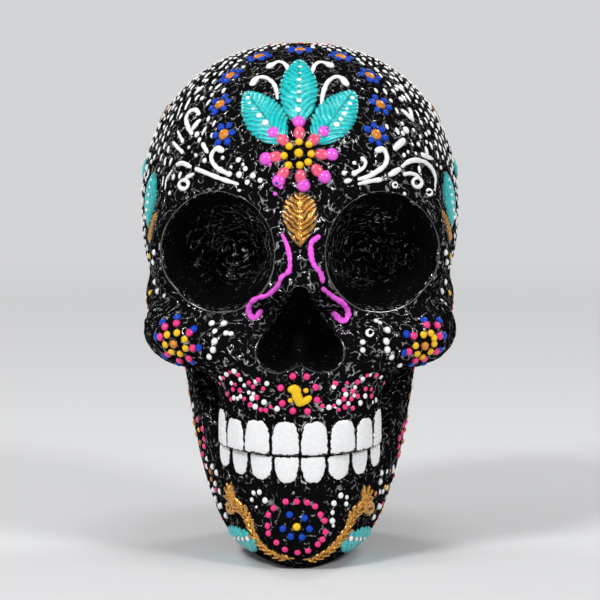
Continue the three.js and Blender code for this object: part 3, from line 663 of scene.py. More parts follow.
@dataclass(frozen=True)
class Patch:
    """A spot with its own flat coordinates: u to the right and v up, along the skin."""

    origin: Array
    normal: Array
    up: Array

    @property
    def right(self) -> Array:
        """The way to the right along the skin."""
        return np.cross(self.up, self.normal)

    def plane(self, uv: Array) -> Array:
        """Returns the points of the patch's plane at coordinates uv."""
        return self.origin + uv[:, :1] * self.right + uv[:, 1:] * self.up

    def way(self, degrees: float) -> Array:
        """Returns a way along the skin, anticlockwise from up as seen from outside."""
        angle = math.radians(degrees)
        return math.cos(angle) * self.up - math.sin(angle) * self.right

    def turned(self, degrees: float) -> "Patch":
        """Returns the patch with its axes turned, anticlockwise as seen from outside."""
        return Patch(self.origin, self.normal, self.way(degrees))


WALK_STEPS = 60
WALK_CARE = 0.85  # share of the field's value that a step goes
WALK_LIMITS = (-2.0, 200.0)  # of a step
NEAR_ENOUGH = 0.05


class Canvas:
    """The skin that the paint lies on, and the ways to find a place on it."""

    def __init__(self, cranium: Cranium, mandible: Mandible, camera: StudioCamera) -> None:
        """Takes what the paint is placed by.

        Args:
            cranium: The upper casting.
            mandible: The lower casting.
            camera: The viewpoint that pixels belong to.
        """
        self.cranium = cranium
        self.mandible = mandible
        self.camera = camera
        self.centre = np.array(cranium.vault.centre)
        self.painted: list[Array] = []

    def outer(self, p: Array) -> Array:
        """Returns the field of both castings without their openings."""
        return np.minimum(self.cranium.over_bite(p), self.mandible.outer(p))

    def settle(self, p: Array, skin: Field | None = None) -> Array:
        """Finds the places on the skin nearest to points.

        Args:
            p: The points.
            skin: Another field than that of both castings, or None.

        Returns:
            The places.
        """
        field_of = skin or self.outer
        for _ in range(4):
            slope = slopes(field_of, p)
            move = field_of(p)[:, None] * slope / np.maximum((slope**2).sum(1, keepdims=True), 0.3)
            p = p - np.clip(move, -3.0, 3.0)
        return p

    def land(self, starts: Array, ways: Array, skin: Field | None = None) -> Array:
        """Follows straight ways from outside to the skin.

        Args:
            starts: Where each way starts.
            ways: Directions of length 1.
            skin: Another field than that of both castings, or None.

        Returns:
            Where each meets the skin, or the skin nearest to where it passes.
        """
        field_of = skin or self.outer
        travel = np.zeros(len(starts))
        nearest = np.full(len(starts), 1e6)
        best = travel.copy()
        for _ in range(WALK_STEPS):
            value = field_of(starts + travel[:, None] * ways)
            closer = value < nearest
            nearest = np.where(closer, value, nearest)
            best = np.where(closer, travel, best)
            if np.max(np.abs(value)) < NEAR_ENOUGH:
                break
            travel = travel + np.clip(WALK_CARE * value, *WALK_LIMITS)
        return self.settle(starts + best[:, None] * ways, skin)

    def places(self, points: Array, along: Array | None = None) -> Places:
        """Makes places of points on the skin.

        Args:
            points: The points.
            along: Ways that the headings follow, or None for up.

        Returns:
            The places.
        """
        normals = unit(slopes(self.outer, points))
        way = np.tile(UP, (len(points), 1)) if along is None else along
        way = way + 1e-3 * np.array((0.3, -1.0, 0.2))
        headings = unit(way - (way * normals).sum(1, keepdims=True) * normals)
        return Places(points, normals, headings)

    def at_pixels(self, pixels: Sequence[Pixel]) -> Array:
        """Finds the places on the skin that pixels of the photograph show.

        Args:
            pixels: The pixels.

        Returns:
            The places, one a row.
        """
        ways = self.camera.ways(np.array(pixels, float))
        starts = np.tile(self.camera.place, (len(pixels), 1)) + CAMERA_LEAD * ways
        return self.land(starts, ways)

    def along_ways(self, ways: Array) -> Array:
        """Returns the places on the skin in given directions from the vault's centre."""
        return self.land(self.centre + VAULT_REACH * ways, -ways)

    def at_angles(self, round_degrees: float, up_degrees: float) -> Array:
        """Returns the place at angles round from the face and up, seen from the vault's centre."""
        return self.along_ways(heading_of(round_degrees, up_degrees)[None, :])[0]

    def patch(self, point: Array, up: Sequence[float] = UP) -> Patch:
        """Makes a patch at a point of the skin.

        Args:
            point: Where it is.
            up: The way that its v axis follows.

        Returns:
            The patch.
        """
        spot = self.places(point[None, :], np.array(up, float)[None, :])
        return Patch(spot.points[0], spot.normals[0], spot.headings[0])

    def drape(self, patch: Patch, uv: Array) -> Places:
        """Lays flat coordinates of a patch down on the skin.

        Args:
            patch: The patch.
            uv: Its coordinates, one pair a row.

        Returns:
            The places.
        """
        starts = patch.plane(uv) + DROP_HEIGHT * patch.normal
        points = self.land(starts, np.tile(-patch.normal, (len(uv), 1)))
        return self.places(points)

    def line(self, points: Array, step: float = 0.5) -> Places:
        """Draws a smooth line along the skin through a few points.

        Args:
            points: The points.
            step: Between the places of the line.

        Returns:
            The places, with headings along the line.
        """
        smooth = self.settle(spline(points, step))
        return self.places(smooth, np.gradient(smooth, axis=0))

    def clear_of_paint(self, points: Array, clearance: float) -> Array:
        """Tells which points lie clear of all the paint laid so far.

        Args:
            points: The points.
            clearance: The least way to any paint.

        Returns:
            True for each point that is clear.
        """
        paint = np.concatenate(self.painted)
        tree = KDTree(len(paint))
        for number, point in enumerate(paint.tolist()):
            tree.insert(point, number)
        tree.balance()
        return np.array([tree.find(point)[2] > clearance for point in points.tolist()])


def heading_of(round_degrees: float, up_degrees: float) -> Array:
    """Finds a direction by its angles.

    Args:
        round_degrees: Round from the face towards +X.
        up_degrees: Up from level.

    Returns:
        The direction, of length 1.
    """
    turn, rise = math.radians(round_degrees), math.radians(up_degrees)
    flat = math.cos(rise)
    return np.array((math.sin(turn) * flat, -math.cos(turn) * flat, math.sin(rise)))


def spline(points: Array, step: float) -> Array:
    """Draws a smooth curve through points.

    Args:
        points: The points, one a row.
        step: Length of a step along the curve.

    Returns:
        The curve's points.
    """
    padded = np.vstack((2 * points[0] - points[1], points, 2 * points[-1] - points[-2]))
    dense = []
    t = np.linspace(0.0, 1.0, 24, endpoint=False)[:, None]
    for a, b, c, d in zip(padded, padded[1:], padded[2:], padded[3:]):
        bend = (2 * a - 5 * b + 4 * c - d) * t**2 + (3 * b - a - 3 * c + d) * t**3
        dense.append(b + 0.5 * ((c - a) * t + bend))
    curve = np.vstack((*dense, points[-1:]))
    travel = np.concatenate(((0.0,), np.cumsum(np.linalg.norm(np.diff(curve, axis=0), axis=1))))
    stops = np.linspace(0.0, travel[-1], max(int(travel[-1] / step), 4) + 1)
    return np.column_stack([np.interp(stops, travel, curve[:, axis]) for axis in range(3)])


# Shapes of paint


class Shape:
    """The mesh of one piece, gathered from closed parts. Crest is 0 in recesses and 1 on top."""

    def __init__(self) -> None:
        """Starts with no parts."""
        self.points: list[Array] = []
        self.crests: list[Array] = []
        self.faces: list[tuple[int, ...]] = []
        self.count = 0

    def add(self, points: Array, faces: Sequence[Sequence[int]], crest: Array) -> None:
        """Adds one closed part.

        Args:
            points: Its vertices.
            faces: Its faces, with their vertices counted from 0.
            crest: Its crest at each vertex.
        """
        self.faces.extend(tuple(i + self.count for i in face) for face in faces)
        self.points.append(points)
        self.crests.append(crest)
        self.count += len(points)

    def to_object(self, name: str) -> bpy.types.Object:
        """Makes a Blender object of the parts, kept inside the solids' box.

        Args:
            name: The object's name.

        Returns:
            The object.
        """
        low, high = (np.array(corner) for corner in cad_box)
        points = np.clip((np.concatenate(self.points) + FRAME_SHIFT) * MM, low, high)
        mesh = bpy.data.meshes.new(name)
        mesh.from_pydata(points.tolist(), [], self.faces)
        crest = mesh.attributes.new("crest", "FLOAT", "POINT")
        crest.data.foreach_set("value", np.concatenate(self.crests))
        mesh.shade_smooth()
        mesh.validate()
        piece = bpy.data.objects.new(name, mesh)
        bpy.context.scene.collection.objects.link(piece)
        return piece


def grid_faces(rows: int, columns: int, wrap: bool, first: int = 0) -> list[tuple[int, ...]]:
    """Lists the quads of a grid of vertices.

    Args:
        rows: Number of rows.
        columns: Number of columns.
        wrap: Whether the last column joins the first.
        first: Index of the grid's first vertex.

    Returns:
        The quads.
    """
    faces = []
    for row in range(rows - 1):
        for column in range(columns if wrap else columns - 1):
            a = first + row * columns + column
            b = first + row * columns + (column + 1) % columns
            faces.append((a, b, b + columns, a + columns))
    return faces


def capped_faces(rows: int, columns: int) -> list[tuple[int, ...]]:
    """Lists the faces of rings that close over a last vertex, with one face under the first ring.

    Args:
        rows: Number of rings.
        columns: Vertices in each ring.

    Returns:
        The faces.
    """
    top = rows * columns
    last = top - columns
    faces = grid_faces(rows, columns, True)
    faces += [(last + i, last + (i + 1) % columns, top) for i in range(columns)]
    faces.append(tuple(range(columns))[::-1])
    return faces


DOME_SEGMENTS = 12
DOME_TILTS = np.radians((90.0, 90.0, 68.0, 44.0, 18.0))


def domes(shape: Shape, places: Places, sizes: Array, sink: float = 0.45) -> None:
    """Adds a dome of paint at each place.

    Args:
        shape: The mesh to add to.
        places: Where the domes lie.
        sizes: Half length along the heading, half width and rise, one row a dome.
        sink: How far each foot is sunk into the skin.
    """
    turn = np.arange(DOME_SEGMENTS) * 2.0 * np.pi / DOME_SEGMENTS
    flat = np.stack((np.cos(turn), np.sin(turn)), 1)
    uv = np.vstack(((np.sin(DOME_TILTS)[:, None, None] * flat).reshape(-1, 2), (0.0, 0.0)))
    height = np.append(np.repeat(np.cos(DOME_TILTS), DOME_SEGMENTS), 1.0)
    foot = np.zeros(len(height))
    foot[:DOME_SEGMENTS] = sink
    faces = capped_faces(len(DOME_TILTS), DOME_SEGMENTS)
    rows = zip(places.points, places.normals, places.headings, places.sides, sizes)
    for point, normal, heading, side, (length, width, rise) in rows:
        lift = (height * rise - foot)[:, None] * normal
        points = point + uv[:, :1] * length * heading + uv[:, 1:] * width * side + lift
        # Crest falls from 1 at the top to 0 at the foot, where the recess colour paints shade round the dome.
        shape.add(points, faces, np.maximum(height, 0.0))


def stroke(shape: Shape, line: Places, widths: Array, flatness: float = 0.8) -> None:
    """Adds a line of squeezed paint with round ends.

    Args:
        shape: The mesh to add to.
        line: The places that it follows.
        widths: Half its width at each place.
        flatness: Its height over its half width.
    """
    segments = 12
    cap = np.radians((75.0, 45.0, 20.0))
    back = cap[::-1]
    first, last = np.zeros(len(cap), int), np.full(len(cap), len(widths) - 1)
    order = np.concatenate((first, np.arange(len(widths)), last))
    starts = line.points[0] - np.sin(cap)[:, None] * widths[0] * line.headings[0]
    ends = line.points[-1] + np.sin(back)[:, None] * widths[-1] * line.headings[-1]
    centres = np.vstack((starts, line.points, ends))
    thick = np.concatenate((np.cos(cap) * widths[0], widths, np.cos(back) * widths[-1]))
    turn = np.arange(segments) * 2.0 * np.pi / segments
    across = np.cos(turn)[None, :, None] * line.sides[order][:, None, :]
    over = flatness * np.sin(turn)[None, :, None] * line.normals[order][:, None, :]
    ring = centres[:, None, :] + thick[:, None, None] * (across + over)
    faces = grid_faces(len(centres), segments, True)
    faces.append(tuple(range(segments))[::-1])
    faces.append(tuple(range((len(centres) - 1) * segments, len(centres) * segments)))
    # Crest is 1 on top of the line and 0 on its sides and underside, where the recess colour paints shade.
    crest = np.tile(np.clip(np.sin(turn), 0.0, 1.0), len(centres))
    shape.add(ring.reshape(-1, 3), faces, crest)


@dataclass(frozen=True)
class Leaf:
    """A raised leaf with a midrib and slanting veins."""

    length: float = 0.0  # 0 where it follows from the leaf's ends
    width: float = 0.0
    rise: float = 0.9
    veins: int = 13
    vein_height: float = 0.3
    slant: float = 1.2  # how far a vein runs towards the tip, over its way across
    sharpness: float = 0.5  # below 1 the veins are broad with narrow grooves
    widest: float = 0.42  # share of the length from the base
    midrib: float = 0.25  # height of a raised midrib, negative for a groove
    scallop: float = 0.05
    unsteadiness: float = 0.2  # of the veins' spacing
    step: float = 0.28
    bluntness: float = 0.72  # of the outline: lower is blunter at both ends
    edge_power: float = 2.6  # of the section across: higher is flatter with a steeper edge
    end_width: float = 0.15  # half width at both ends
    # The grooves' low crest paints shade into them with the finish's recess colour.
    groove_crest: float = 0.15  # crest in the grooves between the veins
    rib_width: float = 0.4
    sink: float = 0.5  # how far the foot lies in the skin

    def outline(self, s: Array) -> Array:
        """Works out the half width along the leaf.

        Args:
            s: Shares of the length.

        Returns:
            The half widths there.
        """
        power = math.log(0.5) / math.log(self.widest)
        swell = np.clip(np.sin(np.pi * s**power), 0.0, 1.0) ** self.bluntness
        return np.maximum(0.5 * self.width * swell, self.end_width)

    def add(self, shape: Shape, canvas: Canvas, patch: Patch) -> None:
        """Lays the leaf down on the skin.

        Args:
            shape: The mesh to add to.
            canvas: The skin.
            patch: Its middle, with v towards its tip.
        """
        rows = max(int(self.length / self.step), 12)
        columns = max(int(self.width / self.step) | 1, 7)
        along, across = np.linspace(0.0, 1.0, rows), np.linspace(-1.0, 1.0, columns)
        s, t = np.meshgrid(along, across, indexing="ij")
        reach = self.outline(s)
        run = self.veins * (s - self.slant * np.abs(t) * reach / self.length)
        slow = np.sin(2.0 * np.pi * (1.7 * s + 0.35 * t))
        quick = np.sin(2.0 * np.pi * (4.3 * s - 0.6 * t + 0.3))
        run = run + self.unsteadiness * (slow + 0.7 * quick)
        ridge = np.abs(np.sin(np.pi * run)) ** self.sharpness
        u = t * reach * (1.0 + self.scallop * (2.0 * ridge - 1.0))
        end = np.clip(4.0 * np.minimum(s, 1.0 - s) * self.length / self.width, 0.0, 1.0)
        edge = np.sqrt((1.0 - np.abs(t) ** self.edge_power) * end)
        rib = np.exp(-((t * reach / self.rib_width) ** 2))
        vein = self.vein_height * (ridge - 1.0) * (1.0 - rib)
        height = edge * (self.rise + vein + self.midrib * rib)
        raised = np.maximum(ridge, rib) if self.midrib > 0.0 else ridge * (1.0 - rib)
        # Grooves, and the leaf's edge, get a low crest, where the recess colour paints shade.
        unshaded_share = self.groove_crest + (1.0 - self.groove_crest) * raised
        crest = np.clip(edge * unshaded_share, 0.0, 1.0)
        laid = canvas.drape(patch, np.column_stack((u.ravel(), (s.ravel() - 0.5) * self.length)))
        top = laid.points + height.reshape(-1, 1) * laid.normals
        count = rows * columns
        rim = [*range(columns), *range(2 * columns - 1, count, columns)]
        rim += [*range(count - 2, count - columns - 1, -1), *range(count - 2 * columns, 0, -columns)]
        faces = grid_faces(rows, columns, False)
        faces += [face[::-1] for face in grid_faces(rows, columns, False, count)]
        faces += [(b, a, a + count, b + count) for a, b in zip(rim, rim[1:] + rim[:1])]
        points = np.vstack((top, laid.raised(-self.sink).points))
        shape.add(points, faces, np.concatenate((crest.ravel(), np.zeros(count))))


# Finishes


class NodeWriter:
    """Short hands for making and linking shader nodes in one tree."""

    def __init__(self, tree: bpy.types.NodeTree) -> None:
        """Takes the tree to write in."""
        self.tree = tree

    def make(self, kind: str, **settings: object) -> bpy.types.Node:
        """Makes a node.

        Args:
            kind: The node's type name.
            settings: Its properties.

        Returns:
            The node.
        """
        node = self.tree.nodes.new(kind)
        for name, value in settings.items():
            setattr(node, name, value)
        return node

    def link(self, source: Socket, target: Socket) -> None:
        """Joins an output to an input."""
        self.tree.links.new(source, target)

    def feed(self, socket: Socket, value: object) -> None:
        """Sets an input.

        Args:
            socket: The input.
            value: A plain value, or the output to link to it.
        """
        if isinstance(value, Socket):
            self.link(value, socket)
        else:
            socket.default_value = value

    def give(self, node: bpy.types.Node, values: dict[str, object]) -> None:
        """Sets a node's inputs by name, to plain values or from outputs."""
        for name, value in values.items():
            self.feed(node.inputs[name], value)

    def math(self, operation: str, a: object, b: object = 0.0) -> Socket:
        """Works out a sum.

        Args:
            operation: Which sum.
            a: First socket or number.
            b: Second socket or number.

        Returns:
            The result.
        """
        node = self.make("ShaderNodeMath", operation=operation)
        self.feed(node.inputs[0], a)
        self.feed(node.inputs[1], b)
        return node.outputs[0]

    def mix(self, share: object, low: object, high: object, blend: str = "MIX") -> Socket:
        """Mixes two colours.

        Args:
            share: Of the second colour, as a socket or a number.
            low: First colour, as a socket or a value.
            high: Second colour, as a socket or a value.
            blend: How they mix.

        Returns:
            The mixed colour.
        """
        node = self.make("ShaderNodeMix", data_type="RGBA", blend_type=blend)
        for number, value in ((0, share), (6, low), (7, high)):
            self.feed(node.inputs[number], value)
        return node.outputs[2]

    def spread(
        self, value: object, low: float, high: float, start: object = 0.0, end: object = 1.0
    ) -> Socket:
        """Maps a value onto a range with soft ends, and keeps it there.

        Args:
            value: The value's socket.
            low: Result at the start.
            high: Result at the end.
            start: Value that gives low, as a socket or a number.
            end: Value that gives high, as a socket or a number.

        Returns:
            The result.
        """
        node = self.make("ShaderNodeMapRange", interpolation_type="SMOOTHSTEP")
        ends = {"From Min": start, "From Max": end, "To Min": low, "To Max": high}
        self.give(node, {"Value": value, **ends})
        return node.outputs[0]

    def noise(self, scale: object, detail: float) -> Socket:
        """Makes a noise over the object's own coordinates.

        Args:
            scale: Of the noise, as a socket or a number.
            detail: How many finer noises are added.

        Returns:
            The noise's value.
        """
        place = self.make("ShaderNodeTexCoord").outputs["Object"]
        node = self.make("ShaderNodeTexNoise")
        self.give(node, {"Vector": place, "Scale": scale, "Detail": detail, "Roughness": 0.55})
        return node.outputs["Fac"]

    def pale_rays(self) -> Socket:
        """Tells rays that end in the picture from those that only carry light.

        Returns:
            1 where the camera sees a surface, straight or in gloss or glass.
        """
        seen = self.make("ShaderNodeLightPath").outputs
        through = self.math("MAXIMUM", seen["Is Glossy Ray"], seen["Is Transmission Ray"])
        return self.math("MAXIMUM", seen["Is Camera Ray"], through)


STREAK_RATE = 3.7  # fine streaks over broad ones
RIDGE_WIDTH = 0.08  # of the varnish, in the noise's own range
PIT_RATE = 2.1  # pits over ridges
PIT_HEIGHT = 0.8
RIDGE_BREAKS = (0.36, 0.5)  # the pits' values where a ridge starts to show and shows fully


class EffectGroups:
    """Shader node groups for the finishes, each made once."""

    def __init__(self) -> None:
        """Makes the groups."""
        self.brushed = self._brushed()
        self.squiggled = self._squiggled()

    @staticmethod
    def _group(name: str, inputs: dict[str, str], outputs: dict[str, str]) -> bpy.types.NodeTree:
        """Makes an empty group.

        Args:
            name: The group's name.
            inputs: Types of its inputs by name.
            outputs: Types of its outputs by name.

        Returns:
            The group.
        """
        group = bpy.data.node_groups.new(name, "ShaderNodeTree")
        for way, sockets in (("INPUT", inputs), ("OUTPUT", outputs)):
            for label, kind in sockets.items():
                group.interface.new_socket(label, in_out=way, socket_type=f"NodeSocket{kind}")
        return group

    def _brushed(self) -> bpy.types.NodeTree:
        """Makes the group of hand-laid paint: darker in recesses as painted shade, with uneven colour and
        gloss.

        Returns:
            The group.
        """
        plain = ("Crest", "Scale", "Unevenness", "Bare", "Covered")
        group = self._group(
            "brushed_paint",
            {"Top": "Color", "Recess": "Color", **{label: "Float" for label in plain}},
            {"Color": "Color", "Cover": "Float", "Streak": "Float", "Height": "Float"},
        )
        write = NodeWriter(group)
        given = write.make("NodeGroupInput").outputs
        result = write.make("NodeGroupOutput").inputs
        streak = write.noise(given["Scale"], 4.0)
        fine = write.noise(write.math("MULTIPLY", given["Scale"], STREAK_RATE), 3.0)
        drift = write.math("SUBTRACT", streak, 0.5)
        crest = write.math("ADD", given["Crest"], drift)
        lift = write.spread(crest, 0.0, 1.0, given["Bare"], given["Covered"])
        # The recess colour, laid where the crest is low, is painted shade on the coloured paints.
        tone = write.mix(lift, given["Recess"], given["Top"])
        shade = write.math("ADD", 1.0, write.math("MULTIPLY", drift, given["Unevenness"]))
        grey = write.make("ShaderNodeCombineColor")
        for socket in grey.inputs:
            write.link(shade, socket)
        write.link(write.mix(1.0, tone, grey.outputs[0], "MULTIPLY"), result["Color"])
        write.link(lift, result["Cover"])
        write.link(streak, result["Streak"])
        write.link(write.math("ADD", streak, write.math("MULTIPLY", fine, 0.5)), result["Height"])
        return group

    def _squiggled(self) -> bpy.types.NodeTree:
        """Makes the group of worm-like ridges in thick varnish, with finer pits between them.

        Returns:
            The group.
        """
        results = {"Height": "Float", "Ridge": "Float"}
        group = self._group("squiggled_varnish", {"Scale": "Float"}, results)
        write = NodeWriter(group)
        given = write.make("NodeGroupInput").outputs
        result = write.make("NodeGroupOutput").inputs
        bands = write.noise(given["Scale"], 1.0)
        away = write.math("ABSOLUTE", write.math("SUBTRACT", bands, 0.5))
        ridge = write.spread(away, 1.0, 0.0, 0.0, RIDGE_WIDTH)
        pits = write.noise(write.math("MULTIPLY", given["Scale"], PIT_RATE), 1.0)
        write.link(write.math("ADD", ridge, write.math("MULTIPLY", pits, PIT_HEIGHT)), result["Height"])
        broken = write.math("MULTIPLY", ridge, write.spread(pits, 0.0, 1.0, *RIDGE_BREAKS))
        write.link(broken, result["Ridge"])
        return group


@dataclass(frozen=True)
class Finish:
    """One finish: hand-laid gloss paint, enamel, lacquer or gold."""

    name: str
    slot: str
    top: Color
    # at the feet of beads, on the sides of lines and in leaf grooves and edges; on the teeth it is their
    # black edge, on the black lacquer its own colour.
    # recess: laid where the crest is low. On the coloured paints and the wet lacquer it is a darker copy of
    # the top, as painted shade
    recess: Color
    roughness: Pair = (0.2, 0.34)
    metallic: float = 0.0
    specular: float = 0.5
    edge_tint: float = 1.0  # share of the gloss that is left at a grazing angle
    coat: float = 0.3
    coat_roughness: float = 0.1
    scale: float = 420.0  # of the brush marks, per metre
    unevenness: float = 0.3
    cover: Pair = (0.02, 0.62)  # crest where the top colour starts and where it is full
    bump: float = 0.12
    bump_depth: float = 0.4
    squiggle: float = 0.0  # height of the varnish's ridges
    squiggle_scale: float = 330.0  # per metre

    def material(self, groups: EffectGroups) -> bpy.types.Material:
        """Makes the finish's material.

        Args:
            groups: The shared effects.

        Returns:
            The material.
        """
        material = bpy.data.materials.new(self.name)
        material.use_nodes = True
        write = NodeWriter(material.node_tree)
        shader = material.node_tree.nodes["Principled BSDF"]
        shader.inputs["Specular IOR Level"].default_value = self.specular
        shader.inputs["Specular Tint"].default_value = (*(self.edge_tint,) * 3, 1.0)
        shader.inputs["Coat Weight"].default_value = self.coat
        shader.inputs["Coat Roughness"].default_value = self.coat_roughness
        crest = write.make("ShaderNodeAttribute", attribute_name="crest").outputs["Fac"]
        brushed = write.make("ShaderNodeGroup", node_tree=groups.brushed)
        bare, covered = self.cover
        colors = {"Top": (*self.top, 1.0), "Recess": (*self.recess, 1.0)}
        marks = {"Scale": self.scale, "Unevenness": self.unevenness, "Bare": bare, "Covered": covered}
        write.give(brushed, {**colors, **marks})
        write.link(brushed.outputs["Color"], shader.inputs["Base Color"])
        write.link(write.spread(brushed.outputs["Streak"], *self.roughness), shader.inputs["Roughness"])
        if self.metallic > 0.0:
            metal = write.math("MULTIPLY", brushed.outputs["Cover"], self.metallic)
            write.link(metal, shader.inputs["Metallic"])
        bump = write.make("ShaderNodeBump")
        depth = self.bump_depth * MM
        write.give(bump, {"Strength": self.bump, "Distance": depth, "Height": brushed.outputs["Height"]})
        if self.squiggle > 0.0:
            varnish = write.make("ShaderNodeGroup", node_tree=groups.squiggled)
            varnish.inputs["Scale"].default_value = self.squiggle_scale
            ridges = write.make("ShaderNodeBump")
            depth = self.squiggle * MM
            write.give(ridges, {"Strength": 1.0, "Distance": depth, "Height": varnish.outputs["Height"]})
            write.link(ridges.outputs["Normal"], bump.inputs["Normal"])
            crest = write.math("MULTIPLY", crest, varnish.outputs["Ridge"])
        write.link(crest, brushed.inputs["Crest"])
        write.link(bump.outputs["Normal"], shader.inputs["Normal"])
        return material


class Paint(Enum):
    """The skull's finishes."""

    # Each finish's second colour is its recess colour: painted shade on the coloured paints and the wet
    # lacquer, the black edge on the teeth, and the lacquer's own colour on the black.
    BLACK = Finish(
        "black_lacquer", "black_lacquer", (0.35, 0.35, 0.354), (0.004, 0.004, 0.0044),
        roughness=(0.1, 0.2), metallic=1.0, specular=0.0, edge_tint=0.2, coat=0.0, cover=(0.15, 0.65),
        scale=900.0, bump=0.05, squiggle=0.38,
    )
    WET_BLACK = Finish(
        "wet_lacquer", "black_lacquer", (0.004, 0.004, 0.0044), (0.002, 0.002, 0.0022),
        roughness=(0.06, 0.14), specular=1.0, coat=1.0, scale=700.0,
    )
    IVORY = Finish(
        "tooth_enamel", "ivory", (0.8, 0.81, 0.82), (0.01, 0.01, 0.01),
        cover=(0.16, 0.24), scale=800.0, bump=0.03, unevenness=0.03,
    )
    WHITE = Finish("white_paint", "white_paint", (0.86, 0.86, 0.86), (0.4, 0.4, 0.4), unevenness=0.08)
    TEAL = Finish(
        "teal_paint", "teal_paint", (0.01, 0.54, 0.545), (0.002, 0.22, 0.23),
        cover=(0.0, 0.8), scale=650.0, specular=0.4,
    )
    BLUE = Finish(
        "blue_paint", "blue_paint", (0.0005, 0.05, 0.46), (0.0005, 0.008, 0.09), specular=0.2, coat=0.05
    )
    MAGENTA = Finish("magenta_paint", "magenta_paint", (0.82, 0.1, 0.74), (0.48, 0.03, 0.43), specular=0.35)
    ROSE = Finish("rose_paint", "rose_paint", (0.77, 0.09, 0.67), (0.4, 0.02, 0.34))
    PINK = Finish("pink_paint", "pink_paint", (0.83, 0.018, 0.21), (0.4, 0.004, 0.08))
    CORAL = Finish(
        "coral_paint", "pink_paint", (0.76, 0.085, 0.18), (0.36, 0.006, 0.04), unevenness=0.9, scale=700.0
    )
    YELLOW = Finish(
        "yellow_paint", "yellow_paint", (0.84, 0.51, 0.003), (0.5, 0.2, 0.001), specular=0.35, coat=0.1
    )
    ORANGE = Finish("orange_paint", "yellow_paint", (0.62, 0.2, 0.004), (0.2, 0.035, 0.001), unevenness=1.1)
    GOLD = Finish(
        "antique_gold", "gold_paint", (0.68, 0.32, 0.055), (0.008, 0.003, 0.001),
        cover=(0.3, 0.85), metallic=0.75, coat=0.15, unevenness=0.6, scale=700.0,
    )

    @property
    def word(self) -> str:
        """The finish's name as it stands in a piece's name."""
        return self.name.lower()


@dataclass
class Piece:
    """A piece of the dressed skull before it is made: its shape, finish and the nodes it stands for."""

    name: str
    shape: Shape
    paint: Paint
    nodes: tuple[str, ...] = ()

    @classmethod
    def of_node(cls, node: str, shape: Shape, paint: Paint) -> "Piece":
        """Returns the paint that stands for one node and is named for it."""
        return cls(f"{node}_paint", shape, paint, (node,))


class Dresser:
    """Makes objects of pieces and gives them their finishes."""

    def __init__(self) -> None:
        """Makes every finish's material."""
        groups = EffectGroups()
        self.materials = {paint: paint.value.material(groups) for paint in Paint}

    def dress(self, pieces: Sequence[Piece]) -> None:
        """Makes each piece, dresses it and fixes it to the skull.

        Args:
            pieces: The pieces.
        """
        for piece in pieces:
            made = piece.shape.to_object(piece.name)
            made.data.materials.append(self.materials[piece.paint])
            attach(made, BODY)
            if piece.nodes:
                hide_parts(*piece.nodes)
            log.info("%s: %d faces, %s", piece.name, len(made.data.polygons), piece.paint.value.name)


# Marks of paint by pixels of the photograph


def dotted(canvas: Canvas, marks: Sequence[Dot], rise: float = 0.62, lift: float = 0.0) -> Shape:
    """Makes round dots of paint.

    Args:
        canvas: The skin.
        marks: Where the dots show, and how wide.
        rise: Height of a dot over its radius.
        lift: How far the dots lie over the skin, on other paint.

    Returns:
        Their mesh.
    """
    shape = Shape()
    given = np.array(marks, float)
    spots = canvas.places(canvas.at_pixels(given[:, :2]))
    radius = given[:, 2] * canvas.camera.widths(spots.points)
    domes(shape, spots.raised(lift), np.column_stack((radius, radius, rise * radius)))
    return shape


def same_size(pixels: Sequence[Pixel], radius: float) -> list[Dot]:
    """Returns dots of one radius at pixels."""
    return [(x, y, radius) for x, y in pixels]


LINE_STOPS = (0.0, 0.22, 0.8, 0.95, 1.0)  # shares of a line where its given widths hold


@dataclass(frozen=True)
class Line:
    """A brushed line through pixels, with half widths in millimetres."""

    pixels: tuple[Pixel, ...]
    start: float = 0.4
    middle: float = 0.72
    drop: float = 0.8
    unsteadiness: float = 0.07
    end_share: float = 0.92  # width of the very end over that of the drop

    def add(self, shape: Shape, canvas: Canvas) -> None:
        """Adds the line to a mesh.

        Args:
            shape: The mesh to add to.
            canvas: The skin.
        """
        line = canvas.line(canvas.at_pixels(self.pixels))
        share = np.linspace(0.0, 1.0, len(line.points))
        stops = (self.start, self.middle, self.middle, self.drop, self.end_share * self.drop)
        widths = np.interp(share, LINE_STOPS, stops)
        x, z = line.points[:, 0], line.points[:, 2]
        tremble = np.sin(1.9 * x + 1.1 * z) + np.sin(3.7 * z - 0.9 * x)
        stroke(shape, line, widths * (1.0 + self.unsteadiness * tremble))


def lined(canvas: Canvas, lines: Sequence[Line]) -> Shape:
    """Makes several lines.

    Args:
        canvas: The skin.
        lines: The lines.

    Returns:
        Their mesh.
    """
    shape = Shape()
    for line in lines:
        line.add(shape, canvas)
    return shape


def curl(centre: Pixel, radius: float, start: float, sweep: float) -> tuple[Pixel, ...]:
    """Draws part of a ring.

    Args:
        centre: Its centre.
        radius: In pixels.
        start: Angle where it starts, in degrees clockwise from the right.
        sweep: Angle that it covers.

    Returns:
        Pixels along it.
    """
    turns = np.radians(start + np.linspace(0.0, sweep, 10))
    return tuple((centre[0] + radius * math.cos(t), centre[1] + radius * math.sin(t)) for t in turns)


# Sub-assemblies


